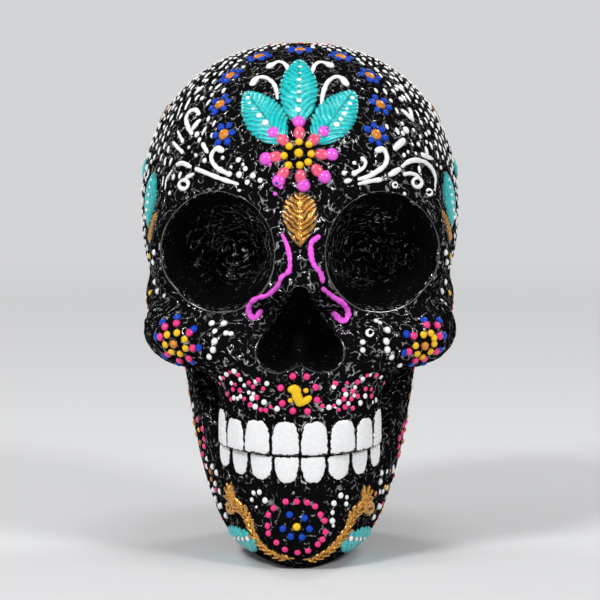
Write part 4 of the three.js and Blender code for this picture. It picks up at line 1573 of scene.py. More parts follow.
@dataclass
class Casting:
    """The two black castings, with the rough relief of their varnish."""

    cranium_box: Box = ((-54.0, -62.0, -2.0), (54.0, 68.0, 166.0))
    cranium_step: float = 0.93
    mandible_box: Box = ((-42.0, -62.0, -2.0), (42.0, 18.0, 74.0))
    mandible_step: float = 0.75
    relief: float = 0.3
    relief_heights: Pair = (2.0, 3.0)  # where the relief starts, and over what height it grows
    wavelength: float = 6.0
    seed: int = 7
    valley_crest: float = 0.3  # crest between the raised lines
    calm: float = 0.55  # share of the relief in the openings
    low_crest: float = 0.52  # share of the glossy crests on the chin and the neck
    crest_heights: Pair = (20.0, 100.0)  # where that share starts to grow and where it is full
    wall_depths: tuple[float, ...] = (0.8, 2.2, 9.0, 15.0)  # openings: rim, wall's start and end, back
    wall_crests: tuple[float, ...] = (1.0, 0.2, 0.2, 1.0)  # share of the glossy crests there

    def build(self, canvas: Canvas) -> list[Piece]:
        """Makes both castings.

        Args:
            canvas: The skin.

        Returns:
            The castings' pieces.
        """
        cranium = self._skin(canvas, canvas.cranium.body, self.cranium_box, self.cranium_step)
        mandible = self._skin(canvas, canvas.mandible.body, self.mandible_box, self.mandible_step)
        return [
            Piece("cranium_skin", cranium, Paint.BLACK, ("cranium",)),
            Piece("mandible_skin", mandible, Paint.BLACK, ("mandible",)),
        ]

    def _skin(self, canvas: Canvas, body: Field, box: Box, step: float) -> Shape:
        """Makes one casting's skin.

        Args:
            canvas: The painted skin, which tells outside from openings.
            body: The casting's field.
            box: A box round it.
            step: Size of the mesh's cells.

        Returns:
            Its mesh.
        """
        points, quads = skin_mesh(body, *box, step)
        ridge = Squiggles(self.wavelength, self.seed).ridge(points)
        depth = -canvas.outer(points)
        outside = np.clip(1.0 - 0.5 * depth, self.calm, 1.0)
        start, growth = self.relief_heights
        rough = outside * np.clip((points[:, 2] - start) / growth, 0.0, 1.0)
        lifted = points + (self.relief * ridge * rough)[:, None] * unit(slopes(body, points))
        glossy = np.interp(depth, self.wall_depths, self.wall_crests)
        glossy = glossy * np.interp(points[:, 2], self.crest_heights, (self.low_crest, 1.0))
        shape = Shape()
        crest = self.valley_crest + (1.0 - self.valley_crest) * ridge
        shape.add(lifted, quads.tolist(), glossy * crest)
        return shape


@dataclass(frozen=True)
class ToothSize:
    """Width of a crown, its height from the bite to the gum, and its way forward along the jaw."""

    width: float
    height: float
    slide: float = 0.0


@dataclass
class Teeth:
    """Sixteen white crowns with rounded gum ends, a thin bite line and raised gum edges."""

    upper: tuple[ToothSize, ...] = (
        ToothSize(8.7, 10.9), ToothSize(8.7, 10.6), ToothSize(7.8, 10.0, 0.8), ToothSize(8.2, 11.6, 1.8),
    )
    lower: tuple[ToothSize, ...] = (
        ToothSize(8.0, 8.4), ToothSize(8.0, 8.0), ToothSize(7.4, 7.8), ToothSize(7.0, 6.8),
    )
    upper_arch: float = 1.03  # width of the upper row's curve over the jaw's own
    upper_facing: float = 0.28  # how far the upper crowns turn from the jaw's curve to the front
    bite: float = 35.8
    bite_gap: float = 0.24
    upper_wall: float = 43.5  # height where the arch is as wide as the upper crowns stand
    lower_wall: float = 31.0
    rise: float = 1.0
    depth: float = 4.5
    roundness: float = 3.4  # of the crown's section: higher is flatter with a steeper edge
    rings: tuple[float, ...] = (1.0, 1.0, 0.985, 0.95, 0.89, 0.8, 0.64, 0.42, 0.2)
    ragged_edge: float = 0.3  # share of the way to the middle that black still reaches over
    squares: Pair = (0.5, 0.7)  # power of the gum end's curve, above and below the bite
    rise_power: float = 0.08  # added to that power for the height
    shakes: tuple[Pair, ...] = ((0.012, 7.0), (0.01, 17.0))  # share of the size, and waves a turn
    bite_places: tuple[float, ...] = (0.96, 0.88, 0.5, 0.0, -0.5, -0.88, -0.96)  # over half the width
    bite_rises: tuple[float, ...] = (0.35, 0.08, 0.0, 0.0, 0.0, 0.08, 0.35)  # rounded at both corners
    side_start: float = 0.9  # height over the bite where the sides start
    waist: float = 0.09  # how far the gum end is drawn in
    gum: float = 0.45
    gum_gap: float = 0.9
    gum_start: float = 4.2  # height over the bite
    seed: int = 3

    def build(self, canvas: Canvas) -> list[Piece]:
        """Makes the crowns and the gums.

        Args:
            canvas: The skin.

        Returns:
            The teeth's pieces.
        """
        rng = np.random.default_rng(self.seed)
        pieces = []
        gums = Shape()
        high, low = self.squares
        for row, sizes, sign, square, jaw, wall, facing in (
            ("upper", self.upper, 1.0, high, self._upper_jaw(canvas), self.upper_wall, self.upper_facing),
            ("lower", self.lower, -1.0, low, canvas.mandible.horseshoe, self.lower_wall, 0.0),
        ):
            for side in Side:
                for number, size in enumerate(sizes, start=1):
                    node = f"{row}_tooth_{side.word}_{number}"
                    edge = self.bite + 0.5 * sign * self.bite_gap
                    bed = ToothBed(canvas, jaw, node_middle(node), edge, wall, facing)
                    bed.foot = bed.foot + side.value * size.slide * bed.side
                    outline = self._outline(size, sign, square, rng)
                    shape = Shape()
                    self._crown(shape, bed, outline)
                    pieces.append(Piece(f"{node}_crown", shape, Paint.IVORY, (node,)))
                    self._gum(gums, canvas, bed, outline, sign)
        pieces.append(Piece("gum_ridges", gums, Paint.BLACK))
        return pieces

    def _upper_jaw(self, canvas: Canvas) -> Field:
        """Returns the field of the upper jaw, widened to the curve of its teeth."""
        squeeze = np.array((1.0 / self.upper_arch, 1.0, 1.0))
        return lambda p: canvas.cranium.outer(p * squeeze)

    def _outline(self, size: ToothSize, sign: float, square: float, rng: np.random.Generator) -> Array:
        """Draws a crown's outline, flat at the bite and round at the gum, a little uneven.

        Args:
            size: The crown's size.
            sign: 1 for a gum above the bite, -1 below.
            square: Power of the gum end's curve: lower has squarer shoulders.
            rng: Source of the unevenness.

        Returns:
            The outline, anticlockwise, as rows of upward and sideward coordinates.
        """
        turn = np.linspace(0.0, np.pi, 40)
        across = -np.sign(np.cos(turn)) * np.abs(np.cos(turn)) ** square
        rise = np.sin(turn) ** (square + self.rise_power)
        starts = rng.uniform(0.0, 6.0, len(self.shakes))
        waves = zip(self.shakes, starts)
        shake = sum(share * np.sin(turn * rate + start) for (share, rate), start in waves)
        waist = 1.0 - self.waist * rise**2
        side = 0.5 * size.width * across * waist * (1.0 + shake)
        up = self.side_start + (size.height - self.side_start) * rise * (1.0 + shake)
        corner = np.array(self.bite_places) * 0.5 * size.width
        bite = np.column_stack((self.bite_rises, corner))
        outline = np.vstack((np.column_stack((up, side)), bite))
        outline[:, 0] *= sign
        return outline if sign > 0.0 else outline[::-1]

    def _crown(self, shape: Shape, bed: "ToothBed", outline: Array) -> None:
        """Adds a crown that follows its jaw's curve.

        Args:
            shape: The mesh to add to.
            bed: Where the tooth stands.
            outline: Its outline.
        """
        rings = np.array(self.rings)
        heights = self.rise * (1.0 - rings**self.roundness) ** (1.0 / self.roundness)
        heights[0] = -self.depth
        middle = outline.mean(axis=0)
        flat = (middle + rings[:, None, None] * (outline - middle)).reshape(-1, 2)
        height = np.append(np.repeat(heights, len(outline)), self.rise)
        base = bed.lay(np.vstack((flat, middle)))
        points = base + height[:, None] * bed.way
        faces = capped_faces(len(rings), len(outline))
        crest = np.clip((1.0 - rings) / self.ragged_edge, 0.0, 1.0)
        shape.add(points, faces, np.append(np.repeat(crest, len(outline)), 1.0))

    def _gum(self, shape: Shape, canvas: Canvas, bed: "ToothBed", outline: Array, sign: float) -> None:
        """Adds the raised black edge of the gum round a tooth.

        Args:
            shape: The mesh to add to.
            canvas: The skin.
            bed: Where the tooth stands.
            outline: Its outline.
            sign: 1 for a gum above the bite, -1 below.
        """
        arch = outline[sign * outline[:, 0] > self.gum_start]
        arch = arch[np.argsort(arch[:, 1])] + (sign * self.gum_gap, 0.0)
        line = canvas.line(canvas.settle(bed.lay(arch[::3])))
        stroke(shape, line, np.full(len(line.points), self.gum))


class ToothBed:
    """The stretch of a jaw that a tooth stands on."""

    def __init__(
        self, canvas: Canvas, jaw: Field, middle: Array, bite: float, wall: float, facing: float
    ) -> None:
        """Finds the bed.

        Args:
            canvas: The skin.
            jaw: Field of the jaw before the bite is cut.
            middle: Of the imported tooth.
            bite: Height of the tooth's bite edge at the front.
            wall: Height where the jaw's own curve is followed, so that the tooth stands upright.
            facing: How far the tooth turns from the jaw's curve to the front.
        """
        self.canvas = canvas
        self.jaw = jaw
        self.wall = wall
        outward = unit(slopes(jaw, middle[None, :])[0] * (1.0, 1.0, 0.0))
        self.way = unit(outward - (0.0, facing, 0.0))
        self.side = np.cross(self.way, UP)
        self.foot = middle * (1.0, 1.0, 0.0) + (0.0, 0.0, bite)

    def lay(self, flat: Array) -> Array:
        """Lays flat coordinates down on the jaw.

        Args:
            flat: Rows of upward and sideward coordinates.

        Returns:
            The places, one a row.
        """
        plane = self.foot + flat[:, 1:] * self.side + flat[:, :1] * UP
        heights = plane[:, 2] + self.canvas.cranium.bite_line.lift(plane[:, 0])
        plane[:, 2] = self.wall
        starts = plane + DROP_HEIGHT * self.way
        laid = self.canvas.land(starts, np.tile(-self.way, (len(plane), 1)), self.jaw)
        return np.column_stack((laid[:, :2], heights))


FLOWER_OUTER_PX: tuple[Pixel, ...] = (
    (298.8, 122), (323.7, 132), (331.8, 154.5), (324.6, 177),
    (303.6, 185.6), (278.7, 180.8), (265.8, 158.8), (273.4, 133),
)
FLOWER_INNER_PX: tuple[Pixel, ...] = (
    (299.3, 133), (314.1, 139.7), (322.2, 154.5), (317.5, 170.8),
    (300.7, 177), (283, 174.1), (274.9, 156.9), (282.5, 139.7),
)
FLOWER_SEED_PX: tuple[Pixel, ...] = (
    (299, 142), (309.1, 144.5), (311.2, 154), (308.2, 162.2),
    (299.8, 165.3), (288.6, 165.3), (284, 155.9), (289.2, 146.4),
)
FLOWER_HEART_PX: Pixel = (298.6, 153.1)
LEAF_PX: dict[str, tuple[Pixel, Pixel]] = {
    "centre": ((298.4, 125), (299.2, 59.5)),
    "left": ((282, 143.5), (245, 91.5)),
    "right": ((316.5, 143.5), (354.5, 91)),
}
LEAF_DOTS_PX: tuple[Dot, ...] = (
    (300.4, 63.2, 1.7), (299.9, 68.8, 2.2), (300, 75, 1.8), (299, 81.8, 2.8), (299, 87.8, 2.2),
    (299.2, 93.6, 2.6), (299.2, 102.2, 2.9), (298.2, 111.3, 3.3),
    (248.6, 99.6, 2.6), (250, 104.7, 2), (253.7, 110.2, 2.1), (259.7, 116.8, 3.2), (265.8, 124.1, 3.9),
    (351.7, 99.5, 2.7), (349.3, 105.2, 2.6), (346.2, 110, 1.9), (343.6, 115.2, 3), (340.2, 120.4, 2.6),
    (336.2, 125.8, 3.4),
)
BROW_LEAF_PX: tuple[Pixel, Pixel] = ((299.8, 191), (300.2, 248))
STRAY_PX: dict[Paint, tuple[Dot, ...]] = {
    Paint.BLUE: ((277.5, 183, 2), (326, 131, 1.8)),
    Paint.ROSE: ((275.2, 193.8, 2.3), (270, 164.5, 2.4), (327.5, 137.5, 2.6), (281, 187, 2.6)),
}


@dataclass
class ForeheadPaint:
    """The large flower of beads with three teal leaves over it and a gold leaf under it."""

    outer_bead: float = 7.0  # pixels
    outer_rise: float = 0.72  # height of a bead over its radius
    seed_bead: float = 4.1
    seed_rise: float = 0.9
    heart_bead: float = 4.8
    speck_rise: float = 0.5
    speck_lift: float = 1.2  # the specks lie on the beads
    leaf_dot_rise: float = 0.7
    leaf_dot_lift: float = 0.6
    inner_size: Triple = (2.5, 1.85, 1.1)
    leaf: Leaf = Leaf(
        rise=0.95, veins=13, vein_height=0.5, slant=0.95, sharpness=0.7, midrib=-0.1, scallop=0.06, step=0.22
    )
    leaf_widths: Triple = (11.9, 12.6, 12.6)
    brow_leaf: Leaf = Leaf(
        width=11.2, rise=1.05, veins=9, vein_height=0.75, slant=-1.0, sharpness=0.75, widest=0.38,
        scallop=0.06, step=0.22,
    )
    ray_pair: float = 0.13  # half the angle between the two lines of a ray
    ray_stops: Triple = (15.0, 21.0, 27.0)  # pixels from the flower's heart
    ray_widths: Triple = (0.25, 0.3, 0.25)

    def build(self, canvas: Canvas) -> list[Piece]:
        """Makes the flower and its leaves.

        Args:
            canvas: The skin.

        Returns:
            The forehead's pieces.
        """
        marks = same_size(FLOWER_SEED_PX, self.seed_bead) + [(*FLOWER_HEART_PX, self.heart_bead)]
        seeds = dotted(canvas, marks, self.seed_rise)
        marks = same_size(FLOWER_OUTER_PX, self.outer_bead) + list(STRAY_PX[Paint.ROSE])
        petals = dotted(canvas, marks, self.outer_rise)
        specks = dotted(canvas, STRAY_PX[Paint.BLUE], self.speck_rise, self.speck_lift)
        pieces = [
            Piece("forehead_flower_magenta_beads", petals, Paint.ROSE, ("forehead_flower_petals",)),
            Piece("forehead_flower_coral_petals", self._inner(canvas), Paint.CORAL),
            Piece("forehead_flower_yellow_beads", seeds, Paint.YELLOW, ("forehead_flower_centre",)),
            Piece("forehead_flower_rays", self._rays(canvas), Paint.WET_BLACK),
            Piece("forehead_blue_specks", specks, Paint.BLUE),
        ]
        for (name, ends), width in zip(LEAF_PX.items(), self.leaf_widths):
            leaf = leaf_between(canvas, ends, replace(self.leaf, width=width))
            pieces.append(Piece.of_node(f"forehead_leaf_{name}", leaf, Paint.TEAL))
        dots = dotted(canvas, LEAF_DOTS_PX, self.leaf_dot_rise, self.leaf_dot_lift)
        pieces.append(Piece("forehead_leaf_dots", dots, Paint.WHITE))
        brow = leaf_between(canvas, BROW_LEAF_PX, self.brow_leaf)
        pieces.append(Piece.of_node("brow_gold_leaf", brow, Paint.GOLD))
        return pieces

    def _inner(self, canvas: Canvas) -> Shape:
        """Makes the coral petals, stretched out from the flower's heart.

        Args:
            canvas: The skin.

        Returns:
            Their mesh.
        """
        points = canvas.at_pixels(FLOWER_INNER_PX)
        heart = canvas.at_pixels((FLOWER_HEART_PX,))
        shape = Shape()
        domes(shape, canvas.places(points, points - heart), np.tile(self.inner_size, (len(points), 1)))
        return shape

    def _rays(self, canvas: Canvas) -> Shape:
        """Makes the thin black ridges between the petals.

        Args:
            canvas: The skin.

        Returns:
            Their mesh.
        """
        heart = np.array(FLOWER_HEART_PX)
        spokes = np.array(FLOWER_OUTER_PX) - heart
        angles = np.unwrap(np.arctan2(spokes[:, 1], spokes[:, 0]))
        gaps = angles + 0.5 * np.diff(np.append(angles, angles[0] + 2.0 * np.pi))
        shape = Shape()
        for gap in gaps:
            for angle in (gap - self.ray_pair, gap + self.ray_pair):
                way = np.array((math.cos(angle), math.sin(angle)))
                pixels = tuple(tuple(heart + stop * way) for stop in self.ray_stops)
                Line(pixels, *self.ray_widths).add(shape, canvas)
        return shape


def leaf_between(canvas: Canvas, ends: tuple[Pixel, Pixel], form: Leaf) -> Shape:
    """Makes a leaf between two pixels.

    Args:
        canvas: The skin.
        ends: Its base and its tip.
        form: The leaf, whose length follows from its ends.

    Returns:
        Its mesh.
    """
    base, tip = canvas.at_pixels(ends)
    middle = canvas.settle(0.5 * (base + tip)[None, :])[0]
    leaf = replace(form, length=float(np.linalg.norm(tip - base)))
    shape = Shape()
    leaf.add(shape, canvas, canvas.patch(middle, tip - base))
    return shape


@dataclass
class CrownPaint:
    """Nine small blue flowers in an arch over the forehead, each with an orange heart."""

    flowers: int = 9
    petals: int = 6
    ring: float = 3.05
    petal: Triple = (1.4, 1.24, 0.9)
    heart: Triple = (1.95, 1.95, 1.0)
    turn_spread: float = 0.08  # of the petals' angles, in radians
    ring_spread: Pair = (0.93, 1.07)
    petal_spread: Pair = (0.9, 1.1)
    seed: int = 11

    def build(self, canvas: Canvas) -> list[Piece]:
        """Makes the small flowers.

        Args:
            canvas: The skin.

        Returns:
            The crown flowers' pieces.
        """
        rng = np.random.default_rng(self.seed)
        pieces = []
        hearts = Shape()
        for number in range(1, self.flowers + 1):
            node = f"crown_flower_{number}"
            patch = canvas.patch(canvas.settle(node_middle(node)[None, :])[0])
            petals = Shape()
            self._flower(petals, hearts, canvas, patch, rng)
            pieces.append(Piece(f"{node}_petals", petals, Paint.BLUE, (node,)))
        pieces.append(Piece("crown_flower_hearts", hearts, Paint.ORANGE))
        return pieces

    def _flower(
        self, petals: Shape, hearts: Shape, canvas: Canvas, patch: Patch, rng: np.random.Generator
    ) -> None:
        """Adds one small flower.

        Args:
            petals: The mesh of its petals.
            hearts: The mesh that its heart goes to.
            canvas: The skin.
            patch: Its middle.
            rng: Source of the hand's unevenness.
        """
        turn = (np.arange(self.petals) + rng.uniform(0.0, 1.0)) * 2.0 * np.pi / self.petals
        turn = turn + rng.normal(0.0, self.turn_spread, self.petals)
        reach = self.ring * rng.uniform(*self.ring_spread, self.petals)
        spots = canvas.drape(patch, np.column_stack((reach * np.cos(turn), reach * np.sin(turn))))
        sizes = np.array(self.petal) * rng.uniform(*self.petal_spread, (self.petals, 1))
        domes(petals, canvas.places(spots.points, spots.points - patch.origin), sizes)
        domes(hearts, canvas.places(patch.origin[None, :]), np.array((self.heart,)))


FEELER_PX: dict[str, tuple[Pixel, ...]] = {
    "forehead_scroll_outer_left": ((277.5, 99), (276.5, 91), (273, 83), (266, 78), (258, 78), (253, 84)),
    "forehead_scroll_inner_left": ((287.5, 72), (286.5, 66), (281.5, 62.5), (275.5, 63), (270, 67)),
    "forehead_scroll_inner_right": ((312.5, 73), (314, 66.5), (319, 62.8), (324, 63), (330, 66)),
    "forehead_scroll_outer_right": ((321.2, 107), (323, 94), (328, 82), (336, 77), (342, 79), (345.5, 84)),
}
BROW_STROKES: dict[str, tuple[Line, ...]] = {
    "brow_scroll_left": (
        Line(((237.5, 184), (226, 180.5), (213.5, 175.8), (196, 168.8)), 0.5, 0.75, 0.7),
        Line(((191, 166.8), (183.1, 163.4), (177.5, 164.4)), 0.5, 0.85, 0.7),
        Line(((172.5, 170.5), (167.2, 179), (165.2, 189.4)), 0.35, 0.5, 0.4),
        Line(((163.6, 177), (162.3, 186)), 0.3, 0.4, 0.35),
    ),
    "brow_scroll_right": (
        Line(
            (
                (402, 166.3), (408.4, 161.7), (417.1, 160.4), (426, 163.3),
                (432, 170), (435, 179.5), (434.5, 190),
            ),
            0.6, 0.85, 0.5,
        ),
    ),
}
BROW_HOOKS: tuple[Line, ...] = (
    Line(
        ((230, 174.6), (219, 169.3), (212.3, 161.7), (212, 154.5), (216.8, 148.6), (222.2, 150.6)),
        0.6, 0.8, 1.05,
    ),
    Line(
        ((359, 179.2), (367.2, 176.9), (376, 172), (384.6, 165), (386.7, 156.8), (383, 149.4), (377, 150.6)),
        0.6, 0.85, 1.1,
    ),
    Line(((346, 181.2), (350.5, 180.2)), 0.75, 0.9, 0.6),
    Line(((359.1, 183.9), (370, 181.2), (380.2, 179.6)), 0.5, 0.75, 0.85),
    Line(((389.9, 174.7), (398.7, 169.5)), 0.9, 0.95, 0.9),
    Line(((355, 173), (360.2, 170), (364.2, 166.8), (365.4, 161.7), (362.3, 158.6)), 0.9, 0.6, 0.75),
    Line(curl((183.9, 184.5), 4.6, -130, 380), 0.6, 0.72, 0.6),
    Line(((187, 177.2), (193, 174.6)), 0.65, 0.75, 0.6),
    Line(
        ((404.1, 174.4), (410.6, 173.4), (416.5, 175.8), *curl((417.1, 182.6), 4.6, -60, 330)),
        0.55, 0.7, 0.55,
    ),
    Line(curl((394.9, 185), 2.4, 0, 340), 0.4, 0.45, 0.4),
    Line(curl((429, 192.5), 3, -140, 300), 0.4, 0.5, 0.4),
)
SIDE_STROKES: tuple[Line, ...] = (
    Line(
        ((199.2, 113.8), (195.5, 110), (189.5, 112.6), (186.4, 119), (188.5, 127.6), (192.3, 134.1)),
        0.75, 0.85, 0.7,
    ),
    Line(((199.4, 121.1), (192.9, 129.2)), 0.8, 1, 0.9),
    Line(((190.7, 98.3), (185.8, 109.1)), 0.5, 0.65, 0.6),
    Line(((202.5, 87.8), (195, 94)), 0.8, 0.85, 0.5),
    Line(((182, 103.7), (177.2, 118.9)), 0.35, 0.45, 0.45),
    Line(((203.2, 144.5), (207.3, 152)), 0.9, 0.85, 0.6),
    Line(((178.2, 131.9), (183.1, 141.7)), 0.5, 0.6, 0.8),
    Line(((173.4, 142.7), (183.1, 152.5)), 0.5, 0.65, 0.7),
    Line(((394.8, 148), (403, 140.8)), 1.1, 1.2, 1.1),
    Line(((402.5, 111.3), (412.2, 120)), 0.9, 1, 0.9),
    Line(((409.5, 109.3), (411.6, 117)), 0.7, 0.8, 0.7),
    Line(((396, 86.4), (403.2, 91)), 0.7, 0.85, 0.7),
    Line(((421.6, 154.9), (432.6, 159)), 0.9, 0.85, 0.5),
    Line(((405.5, 94.2), (409.5, 101)), 0.6, 0.7, 0.6),
)
BROW_DOTS_PX: tuple[Dot, ...] = (
    (202.6, 98.5, 3.2), (197.2, 134.6, 3.5), (212.7, 135.7, 3), (189.1, 147.6, 2.2), (196.1, 155.2, 2.3),
    (204.8, 160.6, 2.8), (207, 81, 3), (222.7, 157.9, 2.2), (238.4, 160.1, 3), (243.3, 164.4, 2),
    (245.5, 168.8, 3), (231.4, 166.8, 1.8), (239.3, 174.7, 3.6), (253, 175.6, 3.3), (247.4, 182.3, 2.9),
    (260.1, 180.4, 2.8), (239.5, 190.5, 1.8), (229.5, 174, 3), (170, 193, 2.6),
    (405.7, 130.3, 4.3), (402.5, 133.5, 3), (401.9, 123.8, 2.5), (400.8, 99.4, 3.5), (391.1, 77.7, 2.8),
    (384.6, 71.7, 2.8), (403.5, 155.2, 2.8), (407.9, 152, 2), (415.5, 153.6, 2.2), (412.2, 144.4, 2),
    (418.2, 144.4, 2.8), (426.3, 142.2, 2.2), (419.8, 136.8, 2.6), (428.5, 132.4, 3), (413.3, 130.3, 2.4),
    (354.2, 163.1, 2.3), (343.9, 173.1, 2.6), (354.2, 173.3, 3.2), (404.6, 193.7, 2), (436.6, 165, 2),
)


@dataclass
class WhiteScrolls:
    """White feelers beside the leaves, and strokes, hooks, curls and dots over the eyes."""

    widths: Triple = (0.4, 0.8, 1.45)  # half width of a feeler at its start, middle and drop

    def build(self, canvas: Canvas) -> list[Piece]:
        """Makes the scrolls and the dots over the eyes.

        Args:
            canvas: The skin.

        Returns:
            The scrolls' pieces.
        """
        pieces = []
        for node, pixels in FEELER_PX.items():
            shape = lined(canvas, (Line(pixels, *self.widths),))
            pieces.append(Piece.of_node(node, shape, Paint.WHITE))
        for node, lines in BROW_STROKES.items():
            pieces.append(Piece.of_node(node, lined(canvas, lines), Paint.WHITE))
        pieces.append(Piece("brow_hooks", lined(canvas, BROW_HOOKS), Paint.WHITE))
        pieces.append(Piece("side_strokes", lined(canvas, SIDE_STROKES), Paint.WHITE))
        pieces.append(Piece("brow_dots", dotted(canvas, BROW_DOTS_PX), Paint.WHITE))
        return pieces


MIDRIB_ENDS = (-0.32, 0.34)  # shares of a leaf's length where a row of dots starts and ends
MIDRIB_SINK = 0.1  # how far the dots lie in the leaf


def midrib_dots(
    shape: Shape, canvas: Canvas, leaf: Leaf, patch: Patch, count: int, radii: Pair
) -> None:
    """Adds a row of dots on a leaf's midrib.

    Args:
        shape: The mesh to add to.
        canvas: The skin.
        leaf: The leaf.
        patch: Where it lies.
        count: How many dots.
        radii: Of the dot next to the tip and of the one next to the base.
    """
    rows = np.linspace(*MIDRIB_ENDS, count) * leaf.length
    spots = canvas.drape(patch, np.column_stack((np.zeros(count), rows)))
    radius = np.linspace(radii[1], radii[0], count)
    domes(shape, spots.raised(leaf.rise - MIDRIB_SINK), np.column_stack((radius, radius, radius)))


@dataclass
class TemplePaint:
    """A large teal leaf on each temple and a small gold one before it."""

    leaf_angles: Pair = (62.0, 4.0)
    gold_angles: Pair = (51.0, -4.0)
    lean: float = 12.0
    leaf: Leaf = Leaf(19.0, 14.5, veins=12, vein_height=0.5, sharpness=0.75, midrib=-0.1, scallop=0.1)
    gold: Leaf = Leaf(11.5, 8.0, veins=7, vein_height=0.65, sharpness=0.75)
    dots: int = 6
    dot: Pair = (0.5, 0.85)  # radius of the dot next to the tip and next to the base

    def build(self, canvas: Canvas) -> list[Piece]:
        """Makes the leaves on both temples.

        Args:
            canvas: The skin.

        Returns:
            The temples' pieces.
        """
        pieces = []
        dots = Shape()
        for side in Side:
            for word, (turn, up), leaf, paint in (
                ("temple_leaf", self.leaf_angles, self.leaf, Paint.TEAL),
                ("temple_gold_leaf", self.gold_angles, self.gold, Paint.GOLD),
            ):
                patch = canvas.patch(canvas.at_angles(side.value * turn, up))
                shape = Shape()
                laid = patch.turned(side.value * self.lean)
                leaf.add(shape, canvas, laid)
                pieces.append(Piece.of_node(f"{word}_{side.word}", shape, paint))
                if paint is Paint.TEAL:
                    midrib_dots(dots, canvas, leaf, laid, self.dots, self.dot)
        pieces.append(Piece("temple_leaf_dots", dots, Paint.WHITE))
        return pieces


CHEEK_PX: dict[Side, dict[Paint, tuple[Pixel, ...]]] = {
    Side.LEFT: {
        Paint.ORANGE: ((173.8, 344.2),),
        Paint.YELLOW: (
            (177.1, 333), (184.7, 339.3), (185.6, 348.2), (180.3, 353.8),
            (171.7, 351.8), (165.5, 344.7), (167.1, 334.8),
        ),
        Paint.PINK: (
            (176.7, 323.6), (189.6, 332.8), (193.1, 348.2), (189.6, 358.3),
            (179.9, 360), (168.2, 353.6), (160.8, 337.1), (165.3, 327),
        ),
        Paint.BLUE: (
            (177.4, 317.3), (194, 329.2), (199.1, 347.6), (192.8, 361.6),
            (178.4, 363.6), (165, 356), (156.8, 337), (162.8, 322.5),
        ),
    },
    Side.RIGHT: {
        Paint.ORANGE: ((424.8, 346),),
        Paint.YELLOW: (
            (423.2, 334.8), (430.8, 333.3), (434, 338), (434.1, 343.8),
            (430.2, 351.5), (422.2, 356.9), (417.2, 353.7), (415.5, 345.6),
        ),
        Paint.PINK: (
            (426.4, 325.2), (437, 325.7), (439.4, 336), (435.7, 351),
            (423.9, 358.5), (415, 360), (408.5, 351.7), (413.4, 336),
        ),
        Paint.BLUE: (
            (424, 320.4), (438.9, 320.5), (443.8, 335.8), (439.2, 350),
            (423.5, 363.2), (411.2, 363.7), (403.8, 352.8), (406.4, 334.2),
        ),
    },
}


@dataclass
class CheekPaint:
    """Flowers of beads on the cheekbones."""

    heart_bead: float = 4.6  # pixels
    heart_rise: float = 0.75  # height of a bead over its radius
    yellow_bead: float = 3.9
    yellow_rise: float = 0.7
    pink_bead: float = 4.2
    pink_rise: float = 0.85
    blue_bead: float = 4.3
    blue_rise: float = 0.6

    def build(self, canvas: Canvas) -> list[Piece]:
        """Makes a flower on each cheekbone.

        Args:
            canvas: The skin.

        Returns:
            The cheeks' pieces.
        """
        pieces = []
        for side, rings in CHEEK_PX.items():
            for paint, word, bead, rise, node in (
                (Paint.BLUE, "blue_beads", self.blue_bead, self.blue_rise, "petals"),
                (Paint.PINK, "pink_beads", self.pink_bead, self.pink_rise, ""),
                (Paint.YELLOW, "yellow_beads", self.yellow_bead, self.yellow_rise, "centre"),
                (Paint.ORANGE, "heart", self.heart_bead, self.heart_rise, ""),
            ):
                shape = dotted(canvas, same_size(rings[paint], bead), rise)
                nodes = (f"cheek_flower_{node}_{side.word}",) if node else ()
                pieces.append(Piece(f"cheek_flower_{word}_{side.word}", shape, paint, nodes))
        return pieces


NOSE_SCROLLS: dict[str, Line] = {
    "nose_scroll_left": Line(
        (
            (282.4, 235), (287.3, 246), (290, 260), (288.9, 271), (281.6, 277.5), (279, 284),
            (272, 291.5), (266, 295.5), (257, 298), (250, 304), (248.8, 312), (252.5, 317.8),
            (256.5, 316.8), (260.5, 311.5),
        ),
        0.6, 0.85, 1, 0.13,
    ),
    "nose_scroll_right_upper": Line(
        ((318, 237), (311.5, 242.5), (310.8, 253), (313.5, 264), (320, 273), (322.5, 281)),
        0.95, 0.9, 1.15, 0.13,
    ),
    "nose_scroll_right_lower": Line(
        (
            (322.6, 288.5), (331.5, 295.5), (341, 301.5), (347.2, 309),
            (348, 316), (344.3, 321.5), (338.5, 318.5), (334.3, 313.8),
        ),
        0.7, 0.95, 1.05, 0.13,
    ),
}
LIP_RING_PX: tuple[Pixel, ...] = (
    (292.8, 376.4), (306.8, 376.7), (280.7, 387.9), (315.6, 387.3),
    (282.3, 403.3), (317.1, 400), (292.8, 410.9), (307.6, 411.3),
)
LIP_HEART: tuple[Line, ...] = (
    Line(((291.5, 389.5), (295, 388.8), (297.5, 390.5)), 1.25, 1.4, 1.3),
    Line(((295.5, 390), (297, 396), (300, 402)), 1.5, 1.55, 1.35),
    Line(((299.5, 402.6), (304, 402), (309, 398.3)), 1.3, 1.15, 0.95),
)
LIP_YELLOW_PX: tuple[Dot, ...] = ((305.9, 390.5, 2.9), (290.4, 400.4, 2.8), (301.5, 404, 2.4))
